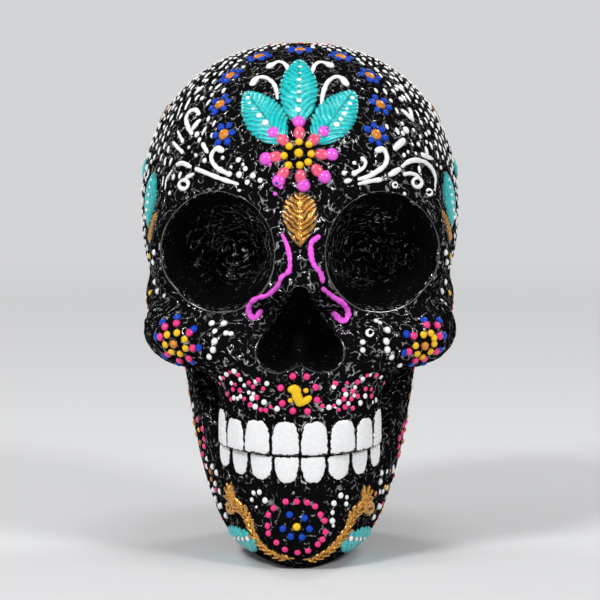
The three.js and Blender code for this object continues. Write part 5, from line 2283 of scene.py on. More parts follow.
LIP_BAND_PX: dict[Paint, tuple[Pixel, ...]] = {
    Paint.WHITE: (
        (234.1, 371.1), (226.6, 374.3), (220.8, 377.9), (240.5, 379.4), (244.4, 385.4), (255.7, 381.6),
        (266.8, 383.6), (248.9, 392.5), (253.5, 393.9), (252.3, 398.2), (234.1, 397.8), (237.8, 398.5),
        (240.9, 396.4), (255.3, 406.7), (264.1, 402.2), (277.1, 408.8), (231.7, 383), (333.7, 386.9),
        (362.5, 378.8), (370, 374.8), (380.7, 377), (354.9, 387.3), (345.6, 394.5), (354, 395.5),
        (365, 396), (338.7, 402.2), (348.3, 403.6), (328.8, 407.3), (360.1, 403), (372.2, 402.2),
        (375.6, 400),
    ),
    Paint.PINK: (
        (230.1, 372.1), (223.8, 377.6), (238.4, 374.8), (235.5, 384.2), (248.9, 382.8), (258.1, 380),
        (253.2, 386.9), (263.2, 388.8), (240.1, 390.1), (233.1, 389.3), (256.9, 397.6), (244.4, 398.8),
        (231.1, 399.4), (250.4, 404.8), (261, 409.7), (266, 410.3), (270.8, 406.7), (220.5, 383.6),
        (335.3, 383.6), (347, 383.3), (357.1, 382.1), (366.8, 375.1), (375.9, 375.1), (344, 390.1),
        (352.5, 391.3), (365.2, 388.8), (371, 389.1), (357.4, 396.1), (371, 396), (343.7, 399),
        (351.3, 399), (333.4, 405.8), (322.3, 406), (338.7, 409.7), (345, 407), (352.5, 408.1),
        (383.5, 383), (227.8, 393.9),
    ),
}
CHIN_PINK_PX: tuple[Pixel, ...] = (
    (285.6, 501.7), (296.7, 501.7), (307, 502.5), (315, 506.4), (320.5, 514.8), (324.4, 520.7),
    (325, 532), (322.3, 539.4), (317.7, 544.2), (308, 550.6), (297.5, 552.4), (285, 549.4),
    (276.5, 542.5), (268.6, 533.3), (267.8, 526), (268.6, 514.8), (273.7, 508.2),
)
CHIN_BLUE_PX: tuple[Pixel, ...] = (
    (289.5, 514.8), (304.6, 518.2), (309.5, 528.8), (301.9, 537.3), (290.7, 536.6), (282.9, 528.8),
)
CHIN_HEART_PX: Dot = (296.7, 527, 4.2)
CHIN_WHITE_PX: tuple[Dot, ...] = (
    (253.8, 492.8, 2.9), (259.5, 492.2, 3), (265.2, 500.5, 3.4), (251.9, 499.7, 2.6), (256.5, 507, 1.6),
    (340.5, 495.4, 3.5), (333.8, 503.3, 3.3), (346.8, 497.3, 2.5), (346.2, 503.9, 2.8), (332.2, 512.4, 2.8),
    (332.2, 520.9, 3.4), (333.2, 525.7, 2),
)


@dataclass
class FacePaint:
    """The nose scrolls, the band of dots round the lip and the rosette on the chin."""

    lip_bead: float = 3.7  # pixels
    lip_rise: float = 0.75  # height of a bead over its radius
    band_bead: float = 2.75
    band_spread: Pair = (0.82, 1.2)
    rosette_bead: float = 3.5
    rosette_rise: float = 0.7
    blue_bead: float = 3.8
    blue_rise: float = 0.65
    seed: int = 5

    def build(self, canvas: Canvas) -> list[Piece]:
        """Makes the paint down the middle of the face.

        Args:
            canvas: The skin.

        Returns:
            The scrolls', the lip's and the chin rosette's pieces.
        """
        pieces = []
        for node, line in NOSE_SCROLLS.items():
            pieces.append(Piece.of_node(node, lined(canvas, (line,)), Paint.MAGENTA))
        heart = dotted(canvas, LIP_YELLOW_PX)
        for line in LIP_HEART:
            line.add(heart, canvas)
        ring = dotted(canvas, same_size(LIP_RING_PX, self.lip_bead), self.lip_rise)
        rosette = dotted(canvas, same_size(CHIN_PINK_PX, self.rosette_bead), self.rosette_rise)
        blue = dotted(canvas, same_size(CHIN_BLUE_PX, self.blue_bead), self.blue_rise)
        middle = dotted(canvas, (CHIN_HEART_PX,), self.rosette_rise)
        pieces += [
            Piece("lip_rosette_pink_beads", ring, Paint.PINK, ("lip_rosette",)),
            Piece("lip_rosette_yellow_heart", heart, Paint.YELLOW),
            Piece("chin_rosette_pink_beads", rosette, Paint.PINK, ("chin_rosette",)),
            Piece("chin_rosette_blue_beads", blue, Paint.BLUE),
            Piece("chin_rosette_heart", middle, Paint.YELLOW),
            Piece("chin_white_dots", dotted(canvas, CHIN_WHITE_PX), Paint.WHITE),
        ]
        rng = np.random.default_rng(self.seed)
        for paint, pixels in LIP_BAND_PX.items():
            marks = [(x, y, self.band_bead * rng.uniform(*self.band_spread)) for x, y in pixels]
            pieces.append(Piece(f"lip_band_{paint.word}_dots", dotted(canvas, marks), paint))
        return pieces


SPRAY_STEM_PX: dict[Side, tuple[Pixel, ...]] = {
    Side.LEFT: (
        (293.5, 557.8), (277.7, 554.8), (265.6, 547.6), (257.1, 537.9),
        (252.3, 527), (247.4, 516), (241.4, 508.8), (234, 500.5),
    ),
    Side.RIGHT: (
        (304.4, 559.1), (314.1, 557.2), (326.2, 551.2), (337.1, 541.5),
        (344.3, 533), (349.2, 522.1), (353.5, 515), (363, 503.5),
    ),
}
SPRAY_CURL_PX: dict[Side, tuple[Pixel, ...]] = {
    Side.LEFT: ((233, 500.5), (228.8, 504.5), (229.5, 511), (234, 511)),
    Side.RIGHT: ((364, 503.5), (370.3, 503), (371.5, 509.5), (367, 512.5)),
}
CHIN_LEAF_PX: dict[Side, tuple[Pixel, Pixel]] = {
    Side.LEFT: ((258.5, 541), (228.5, 532)),
    Side.RIGHT: ((339.5, 541), (369.5, 532)),
}
CHIN_LEAF_DOTS_PX: tuple[Dot, ...] = (
    (251.5, 536.8, 3.1), (246.6, 537, 2.3), (242.4, 536.6, 2.2), (238.6, 536, 1.9),
    (347, 536.8, 3.2), (352.4, 537.2, 2.4), (356.6, 537, 2.2), (360.6, 536.2, 1.9),
)


@dataclass
class ChinPaint:
    """Gold sprays that hold the rosette, and a teal leaf beside each."""

    stem: Pair = (0.4, 0.7)  # half width at the foot and at the head
    stem_flatness: float = 1.1  # height over half width
    curl: float = 1.15  # half width at the curl's end
    curl_flatness: float = 1.0
    leaflets: int = 24
    leaflet: Leaf = Leaf(4.4, 1.7, rise=0.85, veins=3, vein_height=0.3)
    leaflet_ends: Pair = (0.04, 0.88)  # shares of the stem
    leaflet_angle: float = 30.0
    leaflet_growth: Pair = (0.7, 0.45)  # scale at the foot, and what the head adds to it
    head_leaflets: int = 6
    head_leaf: Leaf = Leaf(7.0, 2.7, rise=1.05, veins=4, vein_height=0.5)
    head_fan: float = 1.15  # half the fan's angle, in radians
    leaf: Leaf = Leaf(width=8.8, veins=9, scallop=0.14, slant=0.9)
    dot_rise: float = 0.9
    dot_lift: float = 1.25  # the dots lie on the leaves

    def build(self, canvas: Canvas) -> list[Piece]:
        """Makes the sprays and the leaves.

        Args:
            canvas: The skin.

        Returns:
            The chin's pieces.
        """
        pieces = []
        for side in Side:
            spray = self._spray(canvas, side)
            pieces.append(Piece.of_node(f"chin_gold_spray_{side.word}", spray, Paint.GOLD))
            leaf = leaf_between(canvas, CHIN_LEAF_PX[side], self.leaf)
            pieces.append(Piece.of_node(f"chin_leaf_{side.word}", leaf, Paint.TEAL))
        dots = dotted(canvas, CHIN_LEAF_DOTS_PX, self.dot_rise, self.dot_lift)
        pieces.append(Piece("chin_leaf_dots", dots, Paint.WHITE))
        return pieces

    def _spray(self, canvas: Canvas, side: Side) -> Shape:
        """Makes one spray: a stem with leaflets on both sides, a curl and a fan of leaves on top.

        Args:
            canvas: The skin.
            side: Which side of the chin.

        Returns:
            Its mesh.
        """
        shape = Shape()
        stem = canvas.line(canvas.at_pixels(SPRAY_STEM_PX[side]))
        stroke(shape, stem, np.linspace(*self.stem, len(stem.points)), self.stem_flatness)
        curl_line = canvas.line(canvas.at_pixels(SPRAY_CURL_PX[side]))
        widths = np.linspace(self.stem[1], self.curl, len(curl_line.points))
        stroke(shape, curl_line, widths, self.curl_flatness)
        stops = np.linspace(*self.leaflet_ends, self.leaflets) * (len(stem.points) - 1)
        foot_scale, growth = self.leaflet_growth
        for number, stop in enumerate(stops.astype(int)):
            angle = math.radians(self.leaflet_angle if number % 2 else -self.leaflet_angle)
            scale = foot_scale + growth * number / self.leaflets
            self._leaflet(shape, canvas, stem, stop, angle, self.leaflet, scale)
        head = len(stem.points) - 3
        for angle in np.linspace(-self.head_fan, self.head_fan, self.head_leaflets):
            self._leaflet(shape, canvas, stem, head, angle, self.head_leaf, 1.0)
        return shape

    def _leaflet(
        self, shape: Shape, canvas: Canvas, stem: Places, stop: int, angle: float, form: Leaf, scale: float
    ) -> None:
        """Adds a leaflet that grows out of a stem.

        Args:
            shape: The mesh to add to.
            canvas: The skin.
            stem: The stem's places.
            stop: Which place it grows from.
            angle: From the stem's heading, in radians.
            form: The leaflet at full size.
            scale: Of its length and width.
        """
        way = math.cos(angle) * stem.headings[stop] + math.sin(angle) * stem.sides[stop]
        leaf = replace(form, length=form.length * scale, width=form.width * scale)
        middle = canvas.settle((stem.points[stop] + 0.5 * leaf.length * way)[None, :])[0]
        leaf.add(shape, canvas, canvas.patch(middle, way))


EDGE_DOTS_PX: dict[Paint, tuple[Dot, ...]] = {
    Paint.WHITE: (
        (155, 252.5, 3), (154, 262, 3), (155.5, 282, 3), (158.5, 291.5, 3.2), (165, 296, 2.4),
        (445, 252.5, 3), (446, 262, 3), (444.5, 282, 3), (441, 291.5, 3.2), (441, 301, 2.2),
        (445, 304, 1.8), (224.1, 323.9, 3.4), (212.1, 323.6, 3.2), (215.2, 331.5, 2.8), (231.1, 333.9, 2.6),
        (226.2, 333.3, 2.8), (214.8, 341.5, 3.4), (213.2, 349.9, 3.2), (209.6, 356.6, 3), (376, 321, 2.4),
        (380, 323, 2.2), (387.1, 330.4, 3.4), (386, 341.5, 3.4), (387.1, 349.8, 3.3), (391.1, 356.9, 3),
        (399.3, 364.8, 2.8), (362.7, 342.2, 2.6), (362.7, 350.1, 2.6), (182.8, 381, 2.4), (189.3, 387, 2.8),
        (194.2, 405.4, 2.8), (194.2, 414.1, 2.4), (207.6, 458.6, 2.6), (213.2, 466.5, 3), (217.5, 472.4, 3.2),
        (216.1, 483.6, 2.8), (212.9, 490.6, 2.4), (216.5, 498.5, 3.2), (221.6, 505.4, 3), (226.8, 515.4, 3.2),
        (224.1, 522.1, 2), (414.2, 385.9, 3.2), (409.3, 403.8, 2.8), (380.6, 472.7, 3), (392.5, 470.5, 2.8),
        (379.5, 481.5, 3.2), (381.9, 491.2, 2.6), (385.6, 497.3, 2.8), (377.7, 506.1, 3.2),
        (372.6, 516.7, 3.2), (375.9, 522.1, 2.2),
    ),
    Paint.PINK: (
        (198.6, 419.5, 3), (203.8, 428.8, 3.2), (205.3, 438.9, 3), (205.1, 446.1, 2.8), (203.7, 454.3, 2.8),
        (405.8, 421.7, 2.8), (402.6, 425.2, 2.8), (401.2, 432.6, 2.8), (398.5, 438, 3), (397.6, 446.1, 3),
        (397.4, 455.3, 3), (394.4, 475.9, 2.2),
    ),
    Paint.ORANGE: (
        (195.3, 422.8, 3), (197.5, 434, 2.8), (200.4, 442.6, 2.8), (212.5, 479, 2.6), (408.8, 416.8, 2.4),
        (404.8, 429.8, 2.8), (402.1, 441.2, 3), (399, 452.1, 2.6),
    ),
    Paint.YELLOW: (
        (150.5, 256, 2.8), (151, 293, 2.8), (449.5, 256, 2.8), (448.5, 293, 2.8), (199.7, 429.6, 2.4),
        (384.3, 487, 2.6), (381.9, 511.8, 2.4),
    ),
}


@dataclass
class EdgeDots:
    """Loose dots round the sockets, the cheekbones and the jaw."""

    growth: float = 1.15  # of the marks, which are seen at a slant
    rise: float = 0.85
    ring: Line = Line(curl((370.0, 332.8), 3.2, 0.0, 330.0), 0.4, 0.5, 0.4)  # on the right cheek

    def build(self, canvas: Canvas) -> list[Piece]:
        """Makes the loose dots, one piece for each finish.

        Args:
            canvas: The skin.

        Returns:
            The pieces.
        """
        pieces = []
        for paint, marks in EDGE_DOTS_PX.items():
            shape = dotted(canvas, [(x, y, self.growth * radius) for x, y, radius in marks], self.rise)
            if paint is Paint.WHITE:
                self.ring.add(shape, canvas)
            pieces.append(Piece(f"edge_{paint.word}_dots", shape, paint))
        return pieces


@dataclass
class RimRuns:
    """Thin runs of varnish round the rims of the eye sockets and the nose."""

    eyes: tuple[Pixel, ...] = ((221.0, 250.0), (379.0, 250.0))
    nose: Pixel = (300.0, 338.0)
    reach: float = 75.0  # pixels from there to past the rim
    steps: int = 150
    halvings: int = 14
    widths: Pair = (0.16, 0.46)  # half width at the top and at the bottom

    def build(self, canvas: Canvas) -> list[Piece]:
        """Makes the runs.

        Args:
            canvas: The skin.

        Returns:
            Their piece.
        """
        shape = Shape()
        for centre in self.eyes:
            self._run(shape, canvas, canvas.cranium.sockets, centre)
        self._run(shape, canvas, canvas.cranium.nose, self.nose)
        return [Piece("rim_runs", shape, Paint.WET_BLACK)]

    def _run(self, shape: Shape, canvas: Canvas, opening: Field, centre: Pixel) -> None:
        """Adds one run, found by halving the way from inside the opening to outside.

        Args:
            shape: The mesh to add to.
            canvas: The skin.
            opening: The opening's field.
            centre: A pixel inside the opening.
        """
        turns = np.radians(np.linspace(-90.0, 270.0, self.steps))
        ways = np.column_stack((np.cos(turns), np.sin(turns)))
        low = np.zeros(self.steps)
        high = np.full(self.steps, self.reach)
        for _ in range(self.halvings):
            middle = 0.5 * (low + high)
            inside = opening(canvas.at_pixels(np.array(centre) + middle[:, None] * ways)) < 0.0
            low = np.where(inside, middle, low)
            high = np.where(inside, high, middle)
        rim = canvas.at_pixels(np.array(centre) + high[:, None] * ways)
        points = canvas.settle(rim, canvas.cranium.body)
        line = canvas.places(points, np.gradient(points, axis=0))
        stroke(shape, line, np.interp(np.sin(turns), (-1.0, 1.0), self.widths))


@dataclass(frozen=True)
class BeadRing:
    """A ring of beads in a medallion."""

    paint: Paint
    count: int
    radius: float
    size: Triple  # half length outwards, half width and rise
    phase: float = 0.0

    def add(self, shape: Shape, canvas: Canvas, patch: Patch) -> None:
        """Adds the ring's beads.

        Args:
            shape: The mesh to add to.
            canvas: The skin.
            patch: The ring's middle.
        """
        turn = (np.arange(self.count) + self.phase) * 2.0 * np.pi / self.count
        spots = canvas.drape(patch, self.radius * np.column_stack((np.sin(turn), np.cos(turn))))
        outward = spots.points - patch.origin + 1e-3 * patch.up
        domes(shape, canvas.places(spots.points, outward), np.tile(self.size, (self.count, 1)))


def medallion(canvas: Canvas, name: str, patch: Patch, rings: Sequence[BeadRing]) -> list[Piece]:
    """Makes a flower of bead rings, with one piece for each finish.

    Args:
        canvas: The skin.
        name: Start of the pieces' names.
        patch: Its middle.
        rings: Its rings.

    Returns:
        Its pieces.
    """
    shapes = {ring.paint: Shape() for ring in rings}
    for ring in rings:
        ring.add(shapes[ring.paint], canvas, patch)
    return [Piece(f"{name}_{paint.word}_beads", shape, paint) for paint, shape in shapes.items()]


@dataclass
class RoundPaint:
    """The ornament of the sides, the crown and the back, in the manner of the front."""

    side_angles: Pair = (107.0, 15.0)
    crown_angles: Pair = (180.0, 77.0)
    back_angles: Pair = (180.0, 24.0)
    side_rings: tuple[BeadRing, ...] = (
        BeadRing(Paint.YELLOW, 1, 0.0, (1.9, 1.9, 1.1)),
        BeadRing(Paint.PINK, 8, 4.3, (1.25, 1.25, 0.85)),
        BeadRing(Paint.BLUE, 8, 7.4, (1.5, 1.3, 0.8), 0.5),
        BeadRing(Paint.ORANGE, 12, 11.6, (2.3, 1.35, 0.75)),
        BeadRing(Paint.PINK, 12, 14.6, (0.95, 0.95, 0.6), 0.5),
    )
    side_leaves: int = 6
    side_leaf: Leaf = Leaf(10.5, 6.8, veins=8, vein_height=0.45, sharpness=0.75)
    side_gold_leaf: Leaf = Leaf(10.5, 6.2, veins=7, vein_height=0.6, sharpness=0.8)
    side_leaf_reach: float = 20.5
    crown_rings: tuple[BeadRing, ...] = (
        BeadRing(Paint.ORANGE, 1, 0.0, (1.9, 1.9, 1.0)),
        BeadRing(Paint.YELLOW, 8, 4.2, (1.2, 1.2, 0.8)),
        BeadRing(Paint.PINK, 10, 7.4, (1.5, 1.2, 0.8)),
        BeadRing(Paint.YELLOW, 14, 10.6, (1.3, 1.2, 0.7), 0.5),
        BeadRing(Paint.CORAL, 16, 13.4, (1.3, 1.2, 0.7)),
    )
    back_rings: tuple[BeadRing, ...] = (
        BeadRing(Paint.YELLOW, 1, 0.0, (1.5, 1.5, 1.2)),
        BeadRing(Paint.YELLOW, 8, 4.0, (1.3, 1.3, 1.1)),
        BeadRing(Paint.CORAL, 8, 7.0, (2.2, 1.6, 1.0)),
        BeadRing(Paint.ROSE, 8, 10.2, (2.0, 2.0, 1.4)),
    )
    back_leaf: Leaf = Leaf(
        20.0, 12.0, veins=13, vein_height=0.5, slant=1.15, sharpness=0.75, midrib=-0.1, scallop=0.07,
        step=0.26,
    )
    back_leaf_dots: int = 6
    back_leaf_dot: Pair = (0.55, 0.9)  # radius of the dot next to the tip and next to the base
    back_leaf_turns: tuple[float, ...] = (45.0, 135.0, 225.0, 315.0)
    back_leaf_reach: float = 21.0
    back_gold_leaf: Leaf = Leaf(15.0, 9.0, veins=9, vein_height=0.7, sharpness=0.9)
    back_gold_turns: Pair = (0.0, 180.0)

    def build(self, canvas: Canvas) -> list[Piece]:
        """Makes the flowers, the rosette and their leaves.

        Args:
            canvas: The skin.

        Returns:
            The pieces round the head.
        """
        pieces = []
        for side in Side:
            turn, up = self.side_angles
            patch = canvas.patch(canvas.at_angles(side.value * turn, up))
            pieces += medallion(canvas, f"side_flower_{side.word}", patch, self.side_rings)
            turns = side.value * (np.arange(self.side_leaves) + 0.5) * 360.0 / self.side_leaves
            leaves = self._leaves(canvas, patch, self.side_leaf, turns[1::2], self.side_leaf_reach)
            pieces.append(Piece(f"side_leaves_{side.word}", leaves, Paint.TEAL))
            gold = self._leaves(canvas, patch, self.side_gold_leaf, turns[::2], self.side_leaf_reach)
            pieces.append(Piece(f"side_gold_leaves_{side.word}", gold, Paint.GOLD))
        crown = canvas.patch(canvas.at_angles(*self.crown_angles))
        pieces += medallion(canvas, "crown_rosette", crown, self.crown_rings)
        back = canvas.patch(canvas.at_angles(*self.back_angles))
        pieces += medallion(canvas, "back_flower", back, self.back_rings)
        leaves = self._leaves(canvas, back, self.back_leaf, self.back_leaf_turns, self.back_leaf_reach)
        pieces.append(Piece("back_leaves", leaves, Paint.TEAL))
        dots = Shape()
        for turn in self.back_leaf_turns:
            laid = self._leaf_patch(canvas, back, turn, self.back_leaf_reach)
            midrib_dots(dots, canvas, self.back_leaf, laid, self.back_leaf_dots, self.back_leaf_dot)
        pieces.append(Piece("back_leaf_dots", dots, Paint.WHITE))
        gold = self._leaves(canvas, back, self.back_gold_leaf, self.back_gold_turns, self.back_leaf_reach)
        pieces.append(Piece("back_gold_leaves", gold, Paint.GOLD))
        return pieces

    def _leaves(
        self, canvas: Canvas, patch: Patch, leaf: Leaf, turns: Sequence[float], reach: float
    ) -> Shape:
        """Makes leaves that point away from a flower.

        Args:
            canvas: The skin.
            patch: The flower's middle.
            leaf: The leaf.
            turns: Where the leaves stand round the flower, in degrees from up.
            reach: From the flower's middle to a leaf's middle.

        Returns:
            Their mesh.
        """
        shape = Shape()
        for turn in turns:
            leaf.add(shape, canvas, self._leaf_patch(canvas, patch, turn, reach))
        return shape

    def _leaf_patch(self, canvas: Canvas, patch: Patch, turn: float, reach: float) -> Patch:
        """Finds where a leaf lies that points away from a flower.

        Args:
            canvas: The skin.
            patch: The flower's middle.
            turn: Where the leaf stands round the flower, in degrees from up.
            reach: From the flower's middle to the leaf's middle.

        Returns:
            The leaf's middle, with v towards its tip.
        """
        way = patch.way(turn)
        start = patch.origin + reach * way + DROP_HEIGHT * patch.normal
        middle = canvas.land(start[None, :], -patch.normal[None, :])[0]
        return canvas.patch(middle, way)


@dataclass
class JawPaint:
    """Columns of dots down the sides of the jaw, and a row along each cheekbone."""

    start: float = 60.0  # x that the dots are laid down from
    columns: tuple[float, ...] = (-5.5, 0.5, 6.5)
    heights: tuple[float, ...] = tuple(np.arange(40.0, 62.0, 4.4))
    rows: tuple[float, ...] = (9.0, 15.0, 21.0, 27.0)
    row_ends: Pair = (-37.0, -13.0)
    row_step: float = 4.6
    edge_margin: float = 3.0  # from a dot back to the jaw's rear edge
    edge_slack: float = 0.8  # how far off the skin the point at that margin may lie
    clearance: float = 1.6  # from other paint
    arch_dots: int = 9
    arch_ends: tuple[Triple, ...] = ((60.0, -19.0, 75.0), (60.0, 20.0, 80.0))
    size: Triple = (1.05, 0.95, 0.6)
    size_spread: Pair = (0.85, 1.15)
    shake: float = 0.4
    seed: int = 31
    order: tuple[Paint, ...] = (Paint.PINK, Paint.WHITE, Paint.ORANGE, Paint.WHITE)

    def build(self, canvas: Canvas) -> list[Piece]:
        """Makes the dots on both sides of the jaw.

        Args:
            canvas: The skin.

        Returns:
            Their pieces.
        """
        starts = [(self.start, y, z) for y in self.columns for z in self.heights]
        for number, z in enumerate(self.rows):
            first = self.row_ends[0] + 0.5 * self.row_step * (number % 2)
            starts += [(self.start, y, z) for y in np.arange(first, self.row_ends[1], self.row_step)]
        low, high = np.array(self.arch_ends)
        starts += [tuple(low + share * (high - low)) for share in np.linspace(0.0, 1.0, self.arch_dots)]
        shapes = {paint: Shape() for paint in self.order}
        rng = np.random.default_rng(self.seed)
        for side in Side:
            shake = rng.normal(0.0, self.shake, (len(starts), 3))
            begin = (np.array(starts) + shake) * (side.value, 1.0, 1.0)
            spots = canvas.places(canvas.land(begin, np.tile((-side.value, 0.0, 0.0), (len(begin), 1))))
            inward = canvas.outer(spots.points + (0.0, self.edge_margin, 0.0)) < self.edge_slack
            keep = inward & canvas.clear_of_paint(spots.points, self.clearance)
            for number, paint in enumerate(self.order):
                mine = keep & (np.arange(len(begin)) % len(self.order) == number)
                chosen = spots.chosen(mine)
                grown = rng.uniform(*self.size_spread, (int(mine.sum()), 1))
                domes(shapes[paint], chosen, np.array(self.size) * grown)
        return [Piece(f"jaw_side_{paint.word}_dots", shape, paint) for paint, shape in shapes.items()]


@dataclass
class NapePaint:
    """Rows of dots round the back of the head, under the dashes."""

    rows: tuple[tuple[float, int, Paint], ...] = (
        (-25.0, 33, Paint.PINK), (-31.0, 29, Paint.WHITE), (-37.0, 25, Paint.ORANGE),
    )
    ends: Pair = (104.0, 256.0)  # angles round from the face
    size: Triple = (1.1, 1.0, 0.65)
    size_spread: Pair = (0.85, 1.15)
    shake: float = 0.5  # spread of the dots' places, in degrees
    clearance: float = 1.3
    seed: int = 41

    def build(self, canvas: Canvas) -> list[Piece]:
        """Makes the rows, one piece each.

        Args:
            canvas: The skin.

        Returns:
            The rows' pieces.
        """
        rng = np.random.default_rng(self.seed)
        pieces = []
        for up, count, paint in self.rows:
            turns = np.linspace(*self.ends, count) + rng.normal(0.0, self.shake, count)
            ways = [heading_of(turn, up + rng.normal(0.0, self.shake)) for turn in turns]
            spots = canvas.places(canvas.along_ways(np.array(ways)))
            keep = canvas.clear_of_paint(spots.points, self.clearance)
            shape = Shape()
            grown = rng.uniform(*self.size_spread, (int(keep.sum()), 1))
            domes(shape, spots.chosen(keep), np.array(self.size) * grown)
            pieces.append(Piece(f"nape_{paint.word}_dots", shape, paint))
        return pieces


@dataclass
class DashRows:
    """Dense rows of short white dashes round the side flowers, up to the front arch and the back."""

    inner: float = 26.5  # degrees from the side flower's middle
    outer: float = 78.0
    row_step: float = 3.8
    spacing: float = 3.7
    radius: float = 54.0  # of the vault, for working out angles
    half_length: Pair = (0.8, 1.75)
    half_width: Pair = (0.5, 0.85)
    turn: float = 0.25  # spread of the dashes' headings, in radians
    tilt: float = 0.006  # spread of a row's angle, in radians
    rise: float = 0.55
    skip: float = 0.06  # share of the dashes that are left out
    front_end: float = -8.0  # y behind which the front's bounds don't hold
    arch_middle_px: Pixel = (300.0, 135.0)  # of the front's own ornament
    arch_radii_px: Pair = (84.0, 90.0)
    brow_px: float = 178.0
    lowest: float = 90.0
    back_strip: float = 4.0
    socket_margin: float = 2.0
    clearance: float = 0.95
    seed: int = 23

    def build(self, canvas: Canvas) -> list[Piece]:
        """Makes the dashes.

        Args:
            canvas: The skin.

        Returns:
            Their pieces, one a side.
        """
        rng = np.random.default_rng(self.seed)
        sides = {side: self._side(canvas, side, rng) for side in Side}
        return [Piece(f"side_dashes_{side.word}", shape, Paint.WHITE) for side, shape in sides.items()]

    def _side(self, canvas: Canvas, side: Side, rng: np.random.Generator) -> Shape:
        """Makes one side's dashes.

        Args:
            canvas: The skin.
            side: Which side.
            rng: Source of the hand's unevenness.

        Returns:
            Their mesh.
        """
        turn, up = RoundPaint.side_angles
        axis = heading_of(side.value * turn, up)
        first = unit(np.cross(axis, UP))
        second = np.cross(axis, first)
        ways, along = [], []
        for angle in np.radians(np.arange(self.inner, self.outer, self.row_step)):
            count = int(2.0 * np.pi * self.radius * math.sin(angle) / self.spacing)
            rounds = np.arange(count) * 2.0 * np.pi / count + rng.uniform(0.0, 1.0)
            rounds = (rounds + rng.normal(0.0, 0.5 / count, count))[:, None]
            outward = np.cos(rounds) * first + np.sin(rounds) * second
            tilt = angle + rng.normal(0.0, self.tilt, count)[:, None]
            ways.append(np.cos(tilt) * axis + np.sin(tilt) * outward)
            swing = rng.normal(0.0, self.turn, count)[:, None]
            along.append(np.cos(rounds) * second - np.sin(rounds) * first + swing * outward)
        points = canvas.along_ways(np.concatenate(ways))
        keep = self._wanted(canvas, side, points) & (rng.uniform(size=len(points)) > self.skip)
        spots = canvas.places(points, np.concatenate(along)).chosen(keep)
        length = rng.uniform(*self.half_length, len(spots.points))
        width = rng.uniform(*self.half_width, len(spots.points))
        clear = canvas.clear_of_paint(spots.points, self.clearance)
        for sign in (-1.0, 1.0):
            tips = spots.points + sign * length[:, None] * spots.headings
            clear &= canvas.clear_of_paint(tips, 0.5 * self.clearance)
        shape = Shape()
        sizes = np.column_stack((length, width, np.full(len(length), self.rise)))
        domes(shape, spots.chosen(clear), sizes[clear])
        return shape

    def _wanted(self, canvas: Canvas, side: Side, points: Array) -> Array:
        """Tells which points lie where the rows go.

        Args:
            canvas: The skin.
            side: Which side the rows belong to.
            points: The points.

        Returns:
            True for each point that the rows use.
        """
        pixels = canvas.camera.pixels(points)
        arch = (((pixels - self.arch_middle_px) / self.arch_radii_px) ** 2).sum(axis=1)
        front = points[:, 1] < self.front_end
        hidden = front & ((arch < 1.0) | (pixels[:, 1] > self.brow_px))
        own_side = side.value * points[:, 0] > self.back_strip
        outside = canvas.cranium.sockets(points) > self.socket_margin
        return own_side & ~hidden & (points[:, 2] > self.lowest) & outside


# Studio


LAMP_AIM = (0.0, 0.0, 0.08)


@dataclass(frozen=True)
class Lamp:
    """A soft square lamp that faces the skull. Lengths are metres and power is watts."""

    name: str
    place: Triple
    size: float
    power: float

    def build(self) -> None:
        """Makes the lamp."""
        data = bpy.data.lights.new(self.name, "AREA")
        data.size = self.size
        data.energy = self.power
        lamp = bpy.data.objects.new(self.name, data)
        lamp.location = self.place
        way = Vector(LAMP_AIM) - Vector(self.place)
        lamp.rotation_euler = way.to_track_quat("-Z", "Y").to_euler()
        bpy.context.scene.collection.objects.link(lamp)


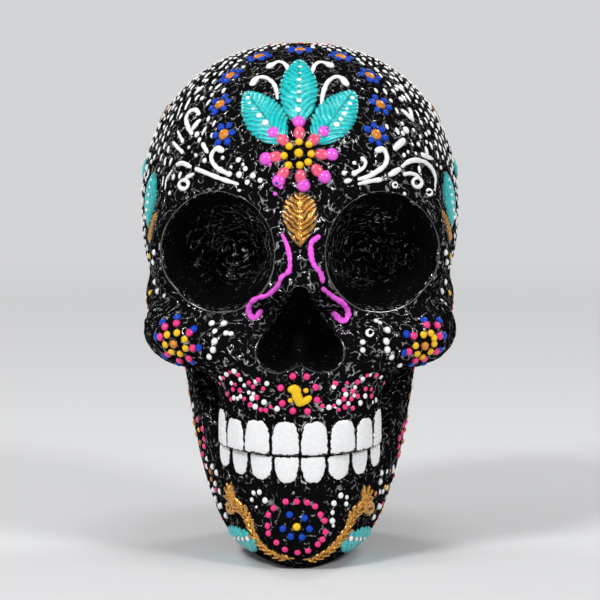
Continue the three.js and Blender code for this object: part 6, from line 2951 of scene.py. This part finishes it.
@dataclass
class Studio:
    """A pale floor that fades into a pale backdrop, under soft lamps."""

    paper: Color = (0.665, 0.67, 0.68)
    backdrop: Color = (0.648, 0.655, 0.67)
    ceiling: float = 0.06  # share of the backdrop's colour that is left overhead
    ceiling_start: float = 0.12  # upward part of a direction where the backdrop starts to darken
    ceiling_end: float = 0.4
    ambient: float = 0.24
    floor_radius: float = 5.0
    floor_sides: int = 96
    paper_roughness: float = 0.9
    paper_gloss: float = 0.1
    paper_grain: Pair = (9.0, 2.0)  # scale and detail of the paper's spots
    paper_tone: float = 0.985  # of the paper's darker spots
    fade: Pair = (0.05, 1.5)  # where the lit floor starts and ends to fade, in metres
    lamps: tuple[Lamp, ...] = (
        Lamp("key_lamp", (-0.62, -0.85, 1.0), 0.3, 10.6),
        Lamp("right_lamp", (0.78, -0.82, 0.78), 0.3, 7.4),
        Lamp("top_lamp", (0.1, -0.05, 1.35), 0.34, 2.6),
        Lamp("left_low_lamp", (-0.95, -0.45, 0.35), 0.2, 1.1),
        Lamp("rear_left_lamp", (-0.7, 0.9, 1.0), 0.3, 4.6),
        Lamp("rear_right_lamp", (0.7, 0.9, 1.0), 0.3, 4.6),
    )

    def build(self) -> None:
        """Makes the floor, the lamps and the world."""
        for lamp in self.lamps:
            lamp.build()
        self._floor()
        self._world()
        bpy.context.scene.view_settings.view_transform = "Standard"

    def _floor(self) -> None:
        """Makes the round floor."""
        turns = np.linspace(0.0, 2.0 * np.pi, self.floor_sides, endpoint=False)
        points = [(self.floor_radius * math.cos(t), self.floor_radius * math.sin(t), 0.0) for t in turns]
        mesh = bpy.data.meshes.new("studio_floor")
        mesh.from_pydata(points, [], [tuple(range(len(points)))])
        floor = bpy.data.objects.new("studio_floor", mesh)
        bpy.context.scene.collection.objects.link(floor)
        material = bpy.data.materials.new("studio_paper")
        material.use_nodes = True
        write = NodeWriter(material.node_tree)
        shader = material.node_tree.nodes["Principled BSDF"]
        shader.inputs["Roughness"].default_value = self.paper_roughness
        shader.inputs["Specular IOR Level"].default_value = self.paper_gloss
        low = (*(self.paper_tone * np.array(self.paper)), 1.0)
        spots = write.mix(write.noise(*self.paper_grain), low, (*self.paper, 1.0))
        write.link(spots, shader.inputs["Base Color"])
        far = write.make("ShaderNodeVectorMath", operation="LENGTH")
        write.link(write.make("ShaderNodeNewGeometry").outputs["Position"], far.inputs[0])
        faded = write.spread(far.outputs["Value"], 0.0, 1.0, *self.fade)
        share = write.math("MULTIPLY", faded, write.pale_rays())
        pale = write.make("ShaderNodeEmission")
        pale.inputs["Color"].default_value = (*self.backdrop, 1.0)
        blend = write.make("ShaderNodeMixShader")
        write.link(share, blend.inputs[0])
        write.link(shader.outputs[0], blend.inputs[1])
        write.link(pale.outputs[0], blend.inputs[2])
        write.link(blend.outputs[0], material.node_tree.nodes["Material Output"].inputs["Surface"])
        mesh.materials.append(material)
        floor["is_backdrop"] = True

    def _world(self) -> None:
        """Makes the world: soft light all round, and where it is seen a backdrop under a dark ceiling."""
        world = bpy.data.worlds.new("studio_world")
        world.use_nodes = True
        bpy.context.scene.world = world
        write = NodeWriter(world.node_tree)
        way = write.make("ShaderNodeSeparateXYZ")
        write.link(write.make("ShaderNodeTexCoord").outputs["Generated"], way.inputs[0])
        over = write.spread(way.outputs["Z"], 0.0, 1.0, self.ceiling_start, self.ceiling_end)
        dark = (*(self.ceiling * np.array(self.backdrop)), 1.0)
        seen = write.mix(over, (*self.backdrop, 1.0), dark)
        light = (self.ambient, self.ambient, self.ambient, 1.0)
        color = write.mix(write.pale_rays(), light, seen)
        write.link(color, world.node_tree.nodes["Background"].inputs["Color"])


def write_sizes() -> None:
    """Works out the solids' box and the dressed skull's box as plain lists, which are not written anywhere.
    """
    boxes = {"cad": cad_box, "visual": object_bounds()}
    plain = {name: [list(corner) for corner in corners] for name, corners in boxes.items()}


def main() -> None:
    """Builds the studio and every sub-assembly in order."""
    logging.basicConfig(level=logging.INFO, format="%(name)s %(message)s")
    camera = StudioCamera()
    camera.build()
    Studio().build()
    cranium = Cranium()
    canvas = Canvas(cranium, Mandible(cranium), camera)
    dresser = Dresser()
    dresser.dress(Casting().build(canvas))
    for part in (
        Teeth(),
        ForeheadPaint(),
        CrownPaint(),
        WhiteScrolls(),
        TemplePaint(),
        CheekPaint(),
        FacePaint(),
        ChinPaint(),
        EdgeDots(),
        RimRuns(),
        RoundPaint(),
        JawPaint(),
        NapePaint(),
        DashRows(),
    ):
        pieces = part.build(canvas)
        canvas.painted += [points for piece in pieces for points in piece.shape.points]
        dresser.dress(pieces)
    write_sizes()


if __name__ == "__main__":
    main()
